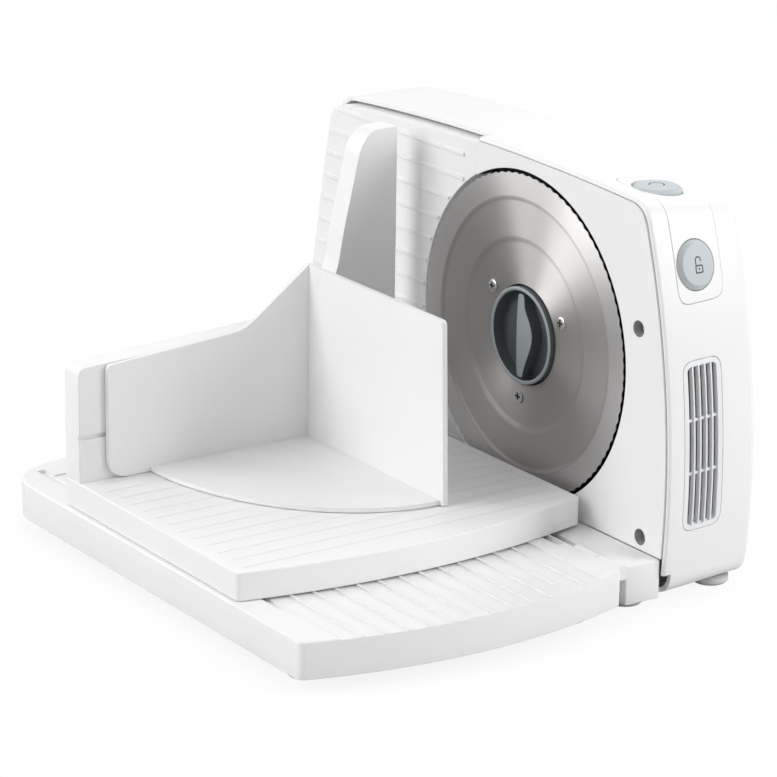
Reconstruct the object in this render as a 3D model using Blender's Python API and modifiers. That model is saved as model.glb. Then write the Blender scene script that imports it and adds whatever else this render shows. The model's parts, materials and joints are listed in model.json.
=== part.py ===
"""Electric food slicer with a round blade, a fold-up table and a sliding food carriage.

Metres, +Z up. Everything is first laid out round the blade's centre: X runs along the blade plate to
the vented end, Y runs from the carriage into the housing, and the plate's face is at Y = 0. The last
step stands the whole slicer on Z = 0, centred on the origin.
"""
import math

import bmesh
import bpy
from mathutils import Matrix, Vector

# Clearances shared by many pieces
GAP = 0.0003
SLIDE_GAP = 0.0004
OVERRUN = 0.002
WELD = 0.00001
RUN_GAP = 0.00005
PRESS_GAP = 0.00002
WIDE = 0.4

# Blade
BLADE_R = 0.085
BLADE_THICK = 0.0011
BLADE_EDGE_THICK = 0.0004
BLADE_BEVEL_WIDTH = 0.0138
BLADE_DISH = 0.0013
BLADE_SWELL_MARGIN = 0.0159
BLADE_SWELL_DEPTH = 0.0005
BLADE_STEP_WIDTH = 0.0024
SCALLOPS = 90
SCALLOP_DEPTH = 0.0007
EDGE_POINT_COUNT = 2

# Lock knob in the blade's middle
KNOB_RIM_R = 0.0256
KNOB_CUP_WALL = 0.0020
KNOB_CUP_DEPTH = 0.0075
KNOB_FLOOR = 0.0018
KNOB_HUB_R = 0.0085
KNOB_LUG_LENGTH = 0.0030
KNOB_LUG_WIDTH = 0.0088
KNOB_RIM_PROUD = 0.0014
LUG_FRONT = 0.0125
AXLE_NOSE = 0.0020
BLADE_HOLE_GAP = 0.0010
VANE_LENGTH = 0.0445
VANE_WIDTH = 0.0130
VANE_TIP_WIDTH = 0.0066
VANE_BELOW_RIM = 0.0006
VANE_SWELL_START_SHARE = 0.28
VANE_SWELL_LEAN_SHARE = 0.60
VANE_END_SHARE = 0.35

# Blade wheel, its fixed axle and the gear train
WHEEL_FLANGE_R = 0.0395
WHEEL_FLANGE_THICK = 0.0030
WHEEL_WALL = 0.0030
WHEEL_WEB_FRONT = 0.0155
WHEEL_WEB_THICK = 0.0030
WHEEL_HUB_R = 0.0090
WHEEL_HUB_END = 0.0270
WHEEL_TEETH_FRONT = 0.0136
WHEEL_TEETH_WIDTH = 0.0064
GEAR_MODULE = 0.0025
TOOTH_ROOT_SHARE = 1.25
TOOTH_TIP_SHARE = 0.85
TOOTH_FOOT_WIDTH_SHARE = 0.31
TOOTH_CREST_WIDTH_SHARE = 0.13
WHEEL_TEETH = 30
PINION_TEETH = 10
AXLE_R = 0.0050
PINION_AXLE_R = 0.0025
TRAIN_ANGLE = math.radians(20)
WORM_WHEEL_TEETH = 20
WORM_WHEEL_MODULE = 0.0019
WORM_WHEEL_FRONT = 0.0310
WORM_WHEEL_WIDTH = 0.0080
WORM_R = 0.0050
WORM_LENGTH = 0.0180
WORM_FLANK_SHARE = 1.5
BLADE_SCREW_CIRCLE_R = 0.0341
BLADE_SCREW_HEAD_R = 0.0033
BLADE_SCREW_HEAD_THICK = 0.0008
BLADE_SCREW_SHANK_R = 0.0014
BLADE_SCREW_LENGTH = 0.0040
SCREW_CROWN_SHARE = 0.80
CROSS_REACH_SHARE = 0.62
CROSS_WIDTH_SHARE = 0.16
BLADE_SCREW_ANGLES = (math.radians(24.5), math.radians(144.5), math.radians(264.5))

# Gear bracket behind the wheel
BRACKET_FRONT = 0.0430
BRACKET_THICK = 0.0025
BRACKET_POST_R = 0.0035
BRACKET_LEFT = -0.0380
BRACKET_RIGHT = 0.0840
BRACKET_TOP = 0.0460
BRACKET_WAIST = -0.0070
BRACKET_BOTTOM = -0.0500
BRACKET_WAIST_X = 0.0440
BRACKET_FOOT_X = 0.0280
BRACKET_CORNER_R = 0.005
BRACKET_BOSS = 0.0120
BRACKET_POST_INSET = 0.0065

# Motor
MOTOR_R = 0.0215
MOTOR_WALL = 0.0018
MOTOR_LENGTH = 0.066
MOTOR_TOP = -0.0130
MOTOR_NECK_R = 0.0080
MOTOR_NECK_LENGTH = 0.0045
ROTOR_SHAFT_R = 0.0022
ROTOR_CORE_R = 0.0165
ROTOR_CORE_SHARE = 0.66
ROTOR_TAIL = 0.0060
MOTOR_SLOT = 0.0060
MOTOR_SLOT_PLACE_SHARES = (0.28, 0.72)
SADDLE_INSET = 0.0120
SADDLE_REACH = 0.0150

# Housing outline at its widest section, corner by corner
TOP_LEFT_X = -0.1817
TOP_LEFT_Z = 0.0896
TOP_RIGHT_X = 0.0974
TOP_RIGHT_Z = 0.0919
BOTTOM_RIGHT_X = 0.1196
BOTTOM_LEFT_X = -0.2157
BOTTOM_Z = -0.1060
TOP_SAG = 0.0053
END_SAG = 0.0118
LEFT_SAG = 0.0016
TOP_LEFT_R = 0.012
TOP_RIGHT_R = 0.0095
BOTTOM_RIGHT_R = 0.010
BOTTOM_LEFT_R = 0.010
SHELL_FRONT = 0.0010
SHELL_BACK = 0.0620
LIP_R = 0.0018
BACK_EDGE_R = 0.0050
SHELL_WALL = 0.0028
SEAM_INSET = 0.0020
MOUTH_DEPTH = 0.0165
END_DRAFT_SHARE = 0.10
TOP_DRAFT_SHARE = 0.14
STOP_SETBACK = 0.0090
STOP_SEAM_GAP = 0.0014
LEDGE_TOP = -0.0859
STOP_SPLIT_X = -0.0420
STOP_TRAVEL = 0.0130

# Front plate with the blade recess
PLATE_THICK = 0.0026
PLATE_BOTTOM_Z = -0.0852
RECESS_GAP = 0.0018
RECESS_R = BLADE_R + RECESS_GAP
RECESS_DEPTH = 0.0100
RECESS_WALL = 0.0024
RECESS_FLOOR = 0.0024
WHEEL_HOLE_R = 0.0404
WELL_R = 0.00425
WELL_WALL = 0.0016
WELL_DEPTH = 0.0080
WELL_FLOOR = 0.0025
UPPER_WELL = (0.0956, 0.0281)
LOWER_WELL = (0.1024, -0.0785)
PLATE_SCREW_HEAD_R = 0.0036
PLATE_SCREW_HEAD_THICK = 0.0026
PLATE_SCREW_SHANK_R = 0.0016
PLATE_SCREW_LENGTH = 0.0140

# Stop plate, its guide posts and the thickness knob behind it
STOP_WALL = 0.0024
STOP_SKIRT = 0.0180
STOP_ARC_GAP = 0.0008
STOP_ARC_R = RECESS_R + STOP_ARC_GAP
STOP_RIB_PITCH = 0.0130
STOP_RIB_TOP_Z = 0.0831
STOP_RIB_WIDTH = 0.0018
STOP_RIB_HEIGHT = 0.0009
STOP_RIBS = 13
STOP_RIB_MARGIN = 0.0022
STOP_RIB_END_GAP = 0.0125
STOP_RIB_ARC_GAP = 0.0012
GUIDE_POST_R = 0.0040
GUIDE_POST_LENGTH = 0.040
GUIDE_BUSH_WALL = 0.0026
GUIDE_BUSH_FRONT = 0.0330
UPPER_GUIDE = (-0.1520, 0.0620)
LOWER_GUIDE = (-0.1720, -0.0600)
DIAL_X = -0.1560
DIAL_Z = 0.0040
SPINDLE_R = 0.0040
SPINDLE_THREAD = 0.0010
SPINDLE_LOBES = 3
THREAD_GAP = 0.0005
THREAD_LEAD = 0.0156
SPINDLE_TIP = 0.0200
SPINDLE_COLLAR_R = 0.0075
SPINDLE_COLLAR_THICK = 0.0030
NUT_WALL = 0.0030
NUT_END = 0.0320
DIAL_KNOB_R = 0.0220
DIAL_KNOB_THICK = 0.0150
DIAL_FLUTES = 10
DIAL_FLUTE_R = 0.0028
DIAL_RING_R = 0.0290
DIAL_RING_THICK = 0.0010

# Slice outlet through the back
OUTLET_LEFT = -0.1180
OUTLET_RIGHT = -0.0500
OUTLET_BOTTOM = -0.0800
OUTLET_TOP = 0.0560
OUTLET_CORNER_R = 0.012
DEFLECTOR_WALL = 0.0018
DEFLECTOR_FRONT_X = -0.0500
DEFLECTOR_BACK_X = -0.0420
DEFLECTOR_REACH = 0.0700

# Switch panel, buttons and switches
PANEL_LEFT = 0.0535
PANEL_BOTTOM = 0.0412
PANEL_FRONT = 0.0131
PANEL_BACK = 0.0440
PANEL_CORNER_R = 0.0075
PANEL_SEAM = 0.0003
BUTTON_R = 0.0126
BUTTON_GAP = 0.0004
BUTTON_PROUD = 0.0026
BUTTON_DOME = 0.0012
DOME_MIDDLE_SHARE = 0.60
DOME_MIDDLE_DROP_SHARE = 0.25
DOME_SHOULDER_DROP_SHARE = 0.70
DOME_EDGE_DROP_SHARE = 1.6
BUTTON_THICK = 0.0050
BUTTON_SKIRT = 0.0020
BUTTON_STEM_R = 0.0032
BUTTON_STEM_LENGTH = 0.0135
BUTTON_TRAVEL = 0.0030
BUTTON_WELL_WALL = 0.0016
BUTTON_WELL_DEPTH = 0.0135
BUTTON_WELL_FLOOR = 0.0016
SPRING_R = 0.0066
SPRING_WIRE_R = 0.00045
SPRING_TURNS = 3
TOP_BUTTON_X = 0.0742
SIDE_BUTTON_Z = 0.0618
BUTTON_Y = 0.0268
SWITCH_LENGTH = 0.0200
SWITCH_WIDTH = 0.0065
SWITCH_HEIGHT = 0.0105
SWITCH_EAR_SHARE = 0.20
SWITCH_PLUNGER_R = 0.0016
SWITCH_PLUNGER_LENGTH = 0.0012

# Vent grille in the end wall
VENT_FRONT = 0.0115
VENT_BACK = 0.0376
VENT_BOTTOM = -0.0728
VENT_TOP = 0.0136
VENT_CORNER_R = 0.0070
VENT_SLOTS = 5
VENT_SLOT_WIDTH = 0.0031
VENT_BARS = 3
VENT_BORDER = 0.0026
VENT_RIB = 0.0014
VENT_RIB_SINK = 0.0010

# Plinth below the plate
PLINTH_LEFT = -0.2070
PLINTH_RIGHT = 0.1185
PLINTH_FRONT = -0.0205
PLINTH_BACK = 0.0007
PLINTH_TOP = -0.0855
PLINTH_WALL = 0.0026
PLINTH_EDGE_R = 0.0010
TONGUE_PLACES = (-0.1200, 0.0550)
TONGUE_WIDTH = 0.0160
TONGUE_THICK = 0.0026
TONGUE_END = 0.0180
TONGUE_HOLE_Y = 0.0120
PLINTH_SCREW_HEAD_R = 0.0030
PLINTH_SCREW_HEAD_THICK = 0.0012
PLINTH_SCREW_LENGTH = 0.0055
PLINTH_SCREW_SHANK_R = 0.0014
NOTCH_TOP = -0.0940
NOTCH_DEPTH = 0.0062

# Rubber feet
FLOOR_Z = -0.1100
FOOT_R = 0.0095
FOOT_CHAMFER = 0.0012
FOOT_STUD_R = 0.0025
FOOT_STUD_LENGTH = 0.0022
FRONT_FOOT_Y = -0.0098
BACK_FOOT_Y = 0.0450
RIGHT_FOOT_X = 0.1040
LEFT_FOOT_X = -0.1900

# Fold-up table; its front end lies just beyond the carriage's
CARRIAGE_FRONT = -0.2095
TABLE_FRONT_MARGIN = 0.0030
TABLE_FRONT = CARRIAGE_FRONT - TABLE_FRONT_MARGIN
TABLE_FAR_X = -0.1630
TABLE_NEAR_X = 0.1185
TABLE_NEAR_HINGE_X = 0.1215
TABLE_BACK = -0.0256
TABLE_TOP = -0.0840
TABLE_UNDER = -0.1030
TABLE_WALL = 0.0030
TABLE_NEAR_SAG = 0.0150
TABLE_FAR_SAG = 0.0115
TABLE_CORNER_R = 0.0035
TABLE_FAR_R = 0.0250
TABLE_EDGE_R = 0.0011
TABLE_RIB_PITCH = 0.0117
TABLE_RIB_WIDTH = 0.0014
TABLE_RIB_HEIGHT = 0.0008
TABLE_PANEL_MARGIN = 0.0190
TABLE_PANEL_BACK = -0.0340
TABLE_PANEL_FAR = -0.1480
TABLE_RIB_FIRST_X = -0.1170
TABLE_CROSS_RIBS = 4
TABLE_CROSS_RIB_PITCH = 0.0700
GROOVE_NEAR = 0.0780
GROOVE_FAR = -0.1580
GROOVE_WIDTH = 0.0044
GROOVE_DEPTH = 0.0018
GROOVE_INSET = 0.0143
FRONT_GROOVE_Y = CARRIAGE_FRONT + GROOVE_INSET
BACK_GROOVE_Y = -0.0305
TABLE_FOOT_R = 0.0080
NEAR_FRONT_FOOT_X = 0.0980
NEAR_FRONT_FOOT_INSET = 0.0165
FAR_FRONT_FOOT_X = -0.1280
FAR_FRONT_FOOT_INSET = 0.0205
NEAR_BACK_FOOT_X = 0.1080
FAR_BACK_FOOT_X = -0.1480
BACK_FOOT_INSET = 0.0224

# Table hinge
HINGE_Y = -0.0230
HINGE_Z = -0.0880
KNUCKLE_R = 0.0039
KNUCKLE_LENGTH = 0.0180
KNUCKLE_INSET = 0.0200
KNUCKLE_RELIEF_R = 0.0044
HINGE_PIN_R = 0.0016
HINGE_PIN_END = 0.0016

# Carriage
CARRIAGE_FAR_X = -0.1060
CARRIAGE_NEAR_X = 0.0595
CARRIAGE_SAG = 0.0126
CARRIAGE_BACK = -0.0049
CARRIAGE_TOP = -0.0692
CARRIAGE_UNDER = -0.0836
CARRIAGE_WALL = 0.0025
CARRIAGE_EDGE_R = 0.0008
CARRIAGE_CORNER_R = 0.0024
CARRIAGE_RIB_PITCH = 0.0117
CARRIAGE_RIB_DEPTH = 0.0005
CARRIAGE_RIB_WIDTH = 0.0040
CARRIAGE_RIB_MARGIN = 0.0060
CARRIAGE_CROSS_RIBS = (-0.0780, -0.0600, -0.0050, 0.0400)
WALL_THICK = 0.0140
WALL_FRONT_TOP = -0.0084
WALL_BACK_TOP = -0.0015
FIN_FOOT_Y = -0.0640
FIN_LOW_Y = -0.0532
FIN_LOW_Z = 0.0183
FIN_MID_Y = -0.0490
FIN_MID_Z = 0.0415
FIN_HIGH_Y = -0.0385
FIN_HIGH_Z = 0.0860
FIN_TOP_Y = -0.0310
FIN_TOP_Z = 0.0932
FIN_BACK_Y = -0.0160
FIN_BACK_Z = 0.0932
WALL_FRONT_R = 0.0040
FIN_FOOT_R = 0.0120
FIN_LOW_R = 0.0090
FIN_HIGH_R = 0.0060
FIN_TOP_R = 0.0040
GUIDE_SLOT_Z = -0.0452
GUIDE_SLOT_HEIGHT = 0.0022
GUIDE_SLOT_DEPTH = 0.0014
KEEL_FAR = -0.1000
KEEL_NEAR = 0.0150
KEEL_WIDTH = 0.0032
KEEL_DEPTH = 0.0012
RIB_THICK = 0.0018

# Carriage glide in the plinth's slot
GLIDE_X = -0.0400
GLIDE_LENGTH = 0.0500
GLIDE_Y = -0.0115
SLOT_WIDTH = 0.0060
GLIDE_FLANGE_WIDTH = 0.0110
GLIDE_FLANGE_THICK = 0.0020
GLIDE_HEAD_THICK = 0.0012
GLIDE_PEG_R = 0.0022
GLIDE_PEG_HEIGHT = 0.0070
GLIDE_PEG_SPACING = 0.0300
PEG_BOSS_WALL = 0.0022
CARRIAGE_BACK_TRAVEL = 0.0550
CARRIAGE_FORE_TRAVEL = 0.0600

# Food holder
HOLDER_WALL = 0.0028
HOLDER_FLOOR = 0.0024
HOLDER_FACE_Y = -0.0727
HOLDER_NEAR_TOP_X = 0.0318
HOLDER_NEAR_FOOT_X = 0.0353
HOLDER_TOP_Z = 0.0270
HOLDER_LOW_Y = -0.1120
HOLDER_LOW_Z = -0.0022
HOLDER_LOW_R = 0.0080
HOLDER_END_INSET = 0.0155
HOLDER_END_Z = -0.0082
HOLDER_CORNER_R = 0.0030
HOLDER_FOOT_R = 0.0120
HOLDER_FLOOR_X_REACH = 0.1240
HOLDER_FLOOR_Y_REACH = 0.0980
TONGUE_LENGTH = 0.0700

# Cord gland in the back wall, with no cord in it
GLAND_X = 0.0100
GLAND_Z = -0.0780
GLAND_R = 0.0075
GLAND_FLANGE_R = 0.0098
GLAND_FLANGE_THICK = 0.0020
GLAND_BORE_R = 0.0034

# Facets
MITRE_LEAST_SHARE = 0.5
ROUND = 28
SMALL_ROUND = 14
TINY_ROUND = 8
BLADE_STEPS = 56

WHITE = (0.88, 0.88, 0.87, 1)
SOFT_WHITE = (0.80, 0.80, 0.80, 1)
GREY = (0.52, 0.56, 0.58, 1)
DARK_GREY = (0.045, 0.050, 0.055, 1)
STEEL = (0.56, 0.55, 0.53, 1)
BRIGHT_STEEL = (0.72, 0.72, 0.72, 1)
RUBBER_GREY = (0.20, 0.20, 0.21, 1)
GEAR_WHITE = (0.74, 0.72, 0.64, 1)
MOTOR_GREY = (0.34, 0.35, 0.36, 1)
COPPER = (0.60, 0.33, 0.20, 1)
BLACK = (0.02, 0.02, 0.02, 1)


def clear_scene():
    for item in list(bpy.data.objects):
        bpy.data.objects.remove(item, do_unlink=True)


clear_scene()
PARTS = bpy.data.collections.new("food_slicer")
CUTTERS = bpy.data.collections.new("cutters")
bpy.context.scene.collection.children.link(PARTS)
bpy.context.scene.collection.children.link(CUTTERS)


def make_material(name, colour, roughness, metallic=0.0):
    material = bpy.data.materials.new(name)
    material.use_nodes = True
    shader = material.node_tree.nodes["Principled BSDF"]
    shader.inputs["Base Color"].default_value = colour
    shader.inputs["Roughness"].default_value = roughness
    shader.inputs["Metallic"].default_value = metallic
    material.diffuse_color = colour
    return material


def finish_part(part, colour, roughness, metallic=0.0):
    part.data.materials.clear()
    part.data.materials.append(make_material(part.name, colour, roughness, metallic))
    part.data.shade_smooth()
    part.data.set_sharp_from_angle(angle=math.radians(35))
    return part


def link_part(name, mesh):
    part = bpy.data.objects.new(name, mesh)
    PARTS.objects.link(part)
    return part


def as_tool(part):
    """Turns a shape into a helper for Boolean modifiers, which the finished slicer leaves out."""
    PARTS.objects.unlink(part)
    CUTTERS.objects.link(part)
    part.hide_render = True
    part.display_type = 'WIRE'
    return part


def boolean(part, tool, operation):
    if tool.name not in CUTTERS.objects:
        as_tool(tool)
    modifier = part.modifiers.new(tool.name, 'BOOLEAN')
    modifier.operation = operation
    modifier.object = tool
    modifier.solver = 'EXACT'
    return part


def cut(part, tool):
    return boolean(part, tool, 'DIFFERENCE')


def join(part, tool):
    return boolean(part, tool, 'UNION')


def keep(part, tool):
    return boolean(part, tool, 'INTERSECT')


def round_edges(part, width, segments=2, angle=50):
    bevel = part.modifiers.new("round_edges", 'BEVEL')
    bevel.width = width
    bevel.segments = segments
    bevel.limit_method = 'ANGLE'
    bevel.angle_limit = math.radians(angle)
    bevel.use_clamp_overlap = True
    return part


def mesh_from(bm, name):
    mesh = bpy.data.meshes.new(name)
    bmesh.ops.recalc_face_normals(bm, faces=bm.faces)
    bm.to_mesh(mesh)
    bm.free()
    return link_part(name, mesh)


def box(name, low, high):
    """A box between two opposite corners."""
    bm = bmesh.new()
    bmesh.ops.create_cube(bm, size=1)
    size = Vector(high) - Vector(low)
    middle = (Vector(high) + Vector(low)) / 2
    matrix = Matrix.Translation(middle) @ Matrix.Diagonal((*size, 1))
    bmesh.ops.transform(bm, matrix=matrix, verts=bm.verts)
    return mesh_from(bm, name)


def boxes(name, corner_pairs):
    """Several separate boxes in one helper."""
    bm = bmesh.new()
    for low, high in corner_pairs:
        made = bmesh.ops.create_cube(bm, size=1)["verts"]
        size = Vector(high) - Vector(low)
        middle = (Vector(high) + Vector(low)) / 2
        matrix = Matrix.Translation(middle) @ Matrix.Diagonal((*size, 1))
        bmesh.ops.transform(bm, matrix=matrix, verts=made)
    return mesh_from(bm, name)


AXIS_TURN = {
    'X': Matrix.Rotation(math.pi / 2, 4, 'Z') @ Matrix.Rotation(math.pi / 2, 4, 'X'),
    'Y': Matrix.Rotation(math.pi / 2, 4, 'X'),
    'Z': Matrix.Identity(4),
}


def rod(name, axis, start, end, at, radius, sides=SMALL_ROUND):
    """A round bar along one axis; at holds its two other coordinates in X, Y, Z order."""
    bm = bmesh.new()
    bmesh.ops.create_cone(bm, cap_ends=True, segments=sides, radius1=radius, radius2=radius,
                          depth=end - start)
    middle = list(at)
    middle.insert("XYZ".index(axis), (start + end) / 2)
    matrix = Matrix.Translation(middle) @ AXIS_TURN[axis]
    bmesh.ops.transform(bm, matrix=matrix, verts=bm.verts)
    return mesh_from(bm, name)


def rods(name, axis, start, end, places, radius, sides=SMALL_ROUND):
    """Several separate round bars in one helper."""
    bm = bmesh.new()
    for at in places:
        made = bmesh.ops.create_cone(bm, cap_ends=True, segments=sides, radius1=radius,
                                     radius2=radius, depth=end - start)["verts"]
        middle = list(at)
        middle.insert("XYZ".index(axis), (start + end) / 2)
        matrix = Matrix.Translation(middle) @ AXIS_TURN[axis]
        bmesh.ops.transform(bm, matrix=matrix, verts=made)
    return mesh_from(bm, name)


def curve_to_mesh(curve_object, name, matrix):
    """Replaces a curve by its welded mesh, turned into place."""
    graph = bpy.context.evaluated_depsgraph_get()
    mesh = bpy.data.meshes.new_from_object(curve_object.evaluated_get(graph))
    mesh.name = name
    bpy.data.objects.remove(curve_object)
    bm = bmesh.new()
    bm.from_mesh(mesh)
    bmesh.ops.remove_doubles(bm, verts=bm.verts, dist=WELD)
    bmesh.ops.transform(bm, matrix=matrix, verts=bm.verts)
    bmesh.ops.recalc_face_normals(bm, faces=bm.faces)
    bm.to_mesh(mesh)
    bm.free()
    return link_part(name, mesh)


def prism(name, axis, start, end, *outlines):
    """A flat outline, with any holes after it, drawn out along an axis.

    Outlines along X are given as (Y, Z), along Y as (X, Z) and along Z as (X, Y).
    """
    curve = bpy.data.curves.new(name + "_outline", 'CURVE')
    curve.dimensions = '2D'
    curve.fill_mode = 'BOTH'
    curve.extrude = (end - start) / 2
    for outline in outlines:
        spline = curve.splines.new('POLY')
        spline.points.add(len(outline) - 1)
        for point, (across, along) in zip(spline.points, outline):
            point.co = (across, along, 0, 1)
        spline.use_cyclic_u = True
    holder = bpy.data.objects.new(name + "_outline", curve)
    PARTS.objects.link(holder)
    bpy.context.view_layer.update()
    shift = [0, 0, 0]
    shift["XYZ".index(axis)] = (start + end) / 2
    return curve_to_mesh(holder, name, Matrix.Translation(shift) @ AXIS_TURN[axis])


def turned(name, centre, profile, steps=ROUND, facing=(0, -1, 0), first_step=0):
    """A turned piece; profile points are (radius, height), height running along facing.

    A profile that starts on the axis ends on it; any other closes on itself as a ring.
    First_step turns the facets on by a share of one facet.
    """
    bm = bmesh.new()
    loops = []
    for radius, height in profile:
        if radius == 0:
            loops.append([bm.verts.new((0, 0, height))] * steps)
            continue
        loop = []
        for step in range(steps):
            angle = 2 * math.pi * (step + first_step) / steps
            loop.append(bm.verts.new((radius * math.cos(angle), radius * math.sin(angle), height)))
        loops.append(loop)
    following = loops[1:] + loops[:1] if profile[0][0] > 0 else loops[1:]
    for first, second in zip(loops, following):
        for step in range(steps):
            after = (step + 1) % steps
            corners = (first[step], first[after], second[after], second[step])
            bm.faces.new(sorted(set(corners), key=corners.index))
    turn = Vector(facing).to_track_quat('Z', 'Y').to_matrix()
    bmesh.ops.rotate(bm, cent=(0, 0, 0), matrix=turn, verts=bm.verts)
    part = mesh_from(bm, name)
    part.location = centre
    return part


def loft(name, rings):
    """Joins rings of equally many points into one closed skin."""
    bm = bmesh.new()
    loops = [[bm.verts.new(point) for point in ring] for ring in rings]
    for first, second in zip(loops, loops[1:]):
        for i in range(len(first)):
            j = (i + 1) % len(first)
            bm.faces.new((first[i], first[j], second[j], second[i]))
    bm.faces.new(loops[0])
    bm.faces.new(loops[-1])
    return mesh_from(bm, name)


def side_point(start, end, sag, share):
    """A point along a side that bows outwards by sag; outlines run clockwise."""
    along = Vector(end) - Vector(start)
    outward = Vector((-along.y, along.x)).normalized()
    return Vector(start) + along * share + outward * (4 * sag * share * (1 - share))


def rounded_outline(corners, side_steps=6, corner_steps=3):
    """Outline through corners (across, along, radius, sag of the side that follows), clockwise."""
    count = len(corners)
    points = []
    for i, (across, along, radius, sag) in enumerate(corners):
        following = corners[(i + 1) % count]
        before = corners[i - 1]
        here = (across, along)
        last = (before[0], before[1])
        after = (following[0], following[1])
        came = (Vector(here) - Vector(last)).length
        goes = (Vector(after) - Vector(here)).length
        enter = side_point(last, here, before[3], 1 - radius / came)
        leave = side_point(here, after, sag, radius / goes)
        if radius > 0:
            for step in range(corner_steps + 1):
                share = step / corner_steps
                blend = enter * (1 - share) ** 2 + leave * share ** 2
                points.append(blend + Vector(here) * (2 * share * (1 - share)))
        else:
            points.append(Vector(here))
        if sag:
            first = radius / goes
            last_share = 1 - following[2] / goes
            for step in range(1, side_steps):
                share = first + (last_share - first) * step / side_steps
                points.append(side_point(here, after, sag, share))
    return [tuple(point) for point in points]


def narrowed(outline, inset):
    """The same outline drawn in by inset at its sides, with its corners scaled alike."""
    across = [point[0] for point in outline]
    along = [point[1] for point in outline]
    middle_x = (max(across) + min(across)) / 2
    middle_z = (max(along) + min(along)) / 2
    shrink_x = 1 - 2 * inset / (max(across) - min(across))
    shrink_z = 1 - 2 * inset / (max(along) - min(along))
    return [(middle_x + (x - middle_x) * shrink_x, middle_z + (z - middle_z) * shrink_z)
            for x, z in outline]


def offset(outline, inset):
    """Moves each side of a clockwise outline inwards by inset."""
    points = [Vector(point) for point in outline]
    moved = []
    for i, here in enumerate(points):
        came = (here - points[i - 1]).normalized()
        goes = (points[(i + 1) % len(points)] - here).normalized()
        inward_came = Vector((came.y, -came.x))
        inward_goes = Vector((goes.y, -goes.x))
        middle = (inward_came + inward_goes).normalized()
        reach = inset / max(middle.dot(inward_goes), MITRE_LEAST_SHARE)
        moved.append(tuple(here + middle * reach))
    return moved


def housing_outline():
    corners = [
        (TOP_LEFT_X, TOP_LEFT_Z, TOP_LEFT_R, TOP_SAG),
        (TOP_RIGHT_X, TOP_RIGHT_Z, TOP_RIGHT_R, END_SAG),
        (BOTTOM_RIGHT_X, BOTTOM_Z, BOTTOM_RIGHT_R, 0),
        (BOTTOM_LEFT_X, BOTTOM_Z, BOTTOM_LEFT_R, LEFT_SAG),
    ]
    return rounded_outline(corners)


def drafted(x, y, z):
    """Draws the vented end inwards and its top downwards with depth; the bottom stays flat."""
    pull = y * max(0, x - STOP_SPLIT_X) / (BOTTOM_RIGHT_X - STOP_SPLIT_X)
    height_share = (z - BOTTOM_Z) / (TOP_RIGHT_Z - BOTTOM_Z)
    return x - END_DRAFT_SHARE * pull, y, z - TOP_DRAFT_SHARE * pull * height_share


def housing_ring(y, inset):
    return [drafted(x, y, z) for x, z in narrowed(housing_outline(), inset)]


def housing_solid(name, lip_steps=2, back_steps=3):
    """The housing's outer form: a soft lip in front and a wide rounding at the back."""
    rings = []
    for step in range(lip_steps + 1):
        angle = math.pi / 2 * step / lip_steps
        rings.append(housing_ring(SHELL_FRONT + LIP_R * (1 - math.cos(angle)),
                                  LIP_R * (1 - math.sin(angle))))
    for step in range(back_steps + 1):
        angle = math.pi / 2 * step / back_steps
        rings.append(housing_ring(SHELL_BACK - BACK_EDGE_R * (1 - math.sin(angle)),
                                  BACK_EDGE_R * (1 - math.cos(angle))))
    return loft(name, rings)


def housing_room(back_steps=2):
    """The hollow behind the housing's mouth, one wall thickness inside the outer form."""
    inner_r = BACK_EDGE_R - SHELL_WALL
    rings = [housing_ring(MOUTH_DEPTH - GAP, SHELL_WALL)]
    for step in range(back_steps + 1):
        angle = math.pi / 2 * step / back_steps
        rings.append(housing_ring(SHELL_BACK - SHELL_WALL - inner_r * (1 - math.sin(angle)),
                                  SHELL_WALL + inner_r * (1 - math.cos(angle))))
    return loft("housing_room", rings)


def seam_prism(name, start, end, inset):
    """The housing's outline drawn in by inset and drawn out along Y with its draft."""
    return loft(name, [housing_ring(start, inset), housing_ring(end, inset)])


def right_of(name, x, start, end, bottom=-WIDE):
    return box(name, (x, start, bottom), (WIDE, end, WIDE))


def left_of(name, x, start, end, bottom=-WIDE):
    return box(name, (-WIDE, start, bottom), (x, end, WIDE))


def rounded_box_outline(low_a, low_b, high_a, high_b, radius):
    corners = [(low_a, high_b, radius, 0), (high_a, high_b, radius, 0),
               (high_a, low_b, radius, 0), (low_a, low_b, radius, 0)]
    return rounded_outline(corners)


def top_surface(x):
    """Height of the housing's top over x, away from its corners."""
    share = (x - TOP_LEFT_X) / (TOP_RIGHT_X - TOP_LEFT_X)
    chord = TOP_LEFT_Z + (TOP_RIGHT_Z - TOP_LEFT_Z) * share
    return chord + 4 * TOP_SAG * share * (1 - share)


def end_surface(z):
    """How far the housing's vented end reaches out at height z."""
    share = (TOP_RIGHT_Z - z) / (TOP_RIGHT_Z - BOTTOM_Z)
    chord = TOP_RIGHT_X + (BOTTOM_RIGHT_X - TOP_RIGHT_X) * share
    return chord + 4 * END_SAG * share * (1 - share)


def top_button_place():
    return Vector(drafted(TOP_BUTTON_X, BUTTON_Y, top_surface(TOP_BUTTON_X))), Vector((0, 0, 1))


def side_button_place():
    """Middle of the side button on the drafted end, and the end's outward direction there."""
    z = SIDE_BUTTON_Z
    step = BUTTON_R / 2
    low = Vector(drafted(end_surface(z - step), BUTTON_Y, z - step))
    high = Vector(drafted(end_surface(z + step), BUTTON_Y, z + step))
    near = Vector(drafted(end_surface(z), BUTTON_Y - step, z))
    far = Vector(drafted(end_surface(z), BUTTON_Y + step, z))
    facing = (far - near).cross(high - low).normalized()
    return Vector(drafted(end_surface(z), BUTTON_Y, z)), facing


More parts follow.
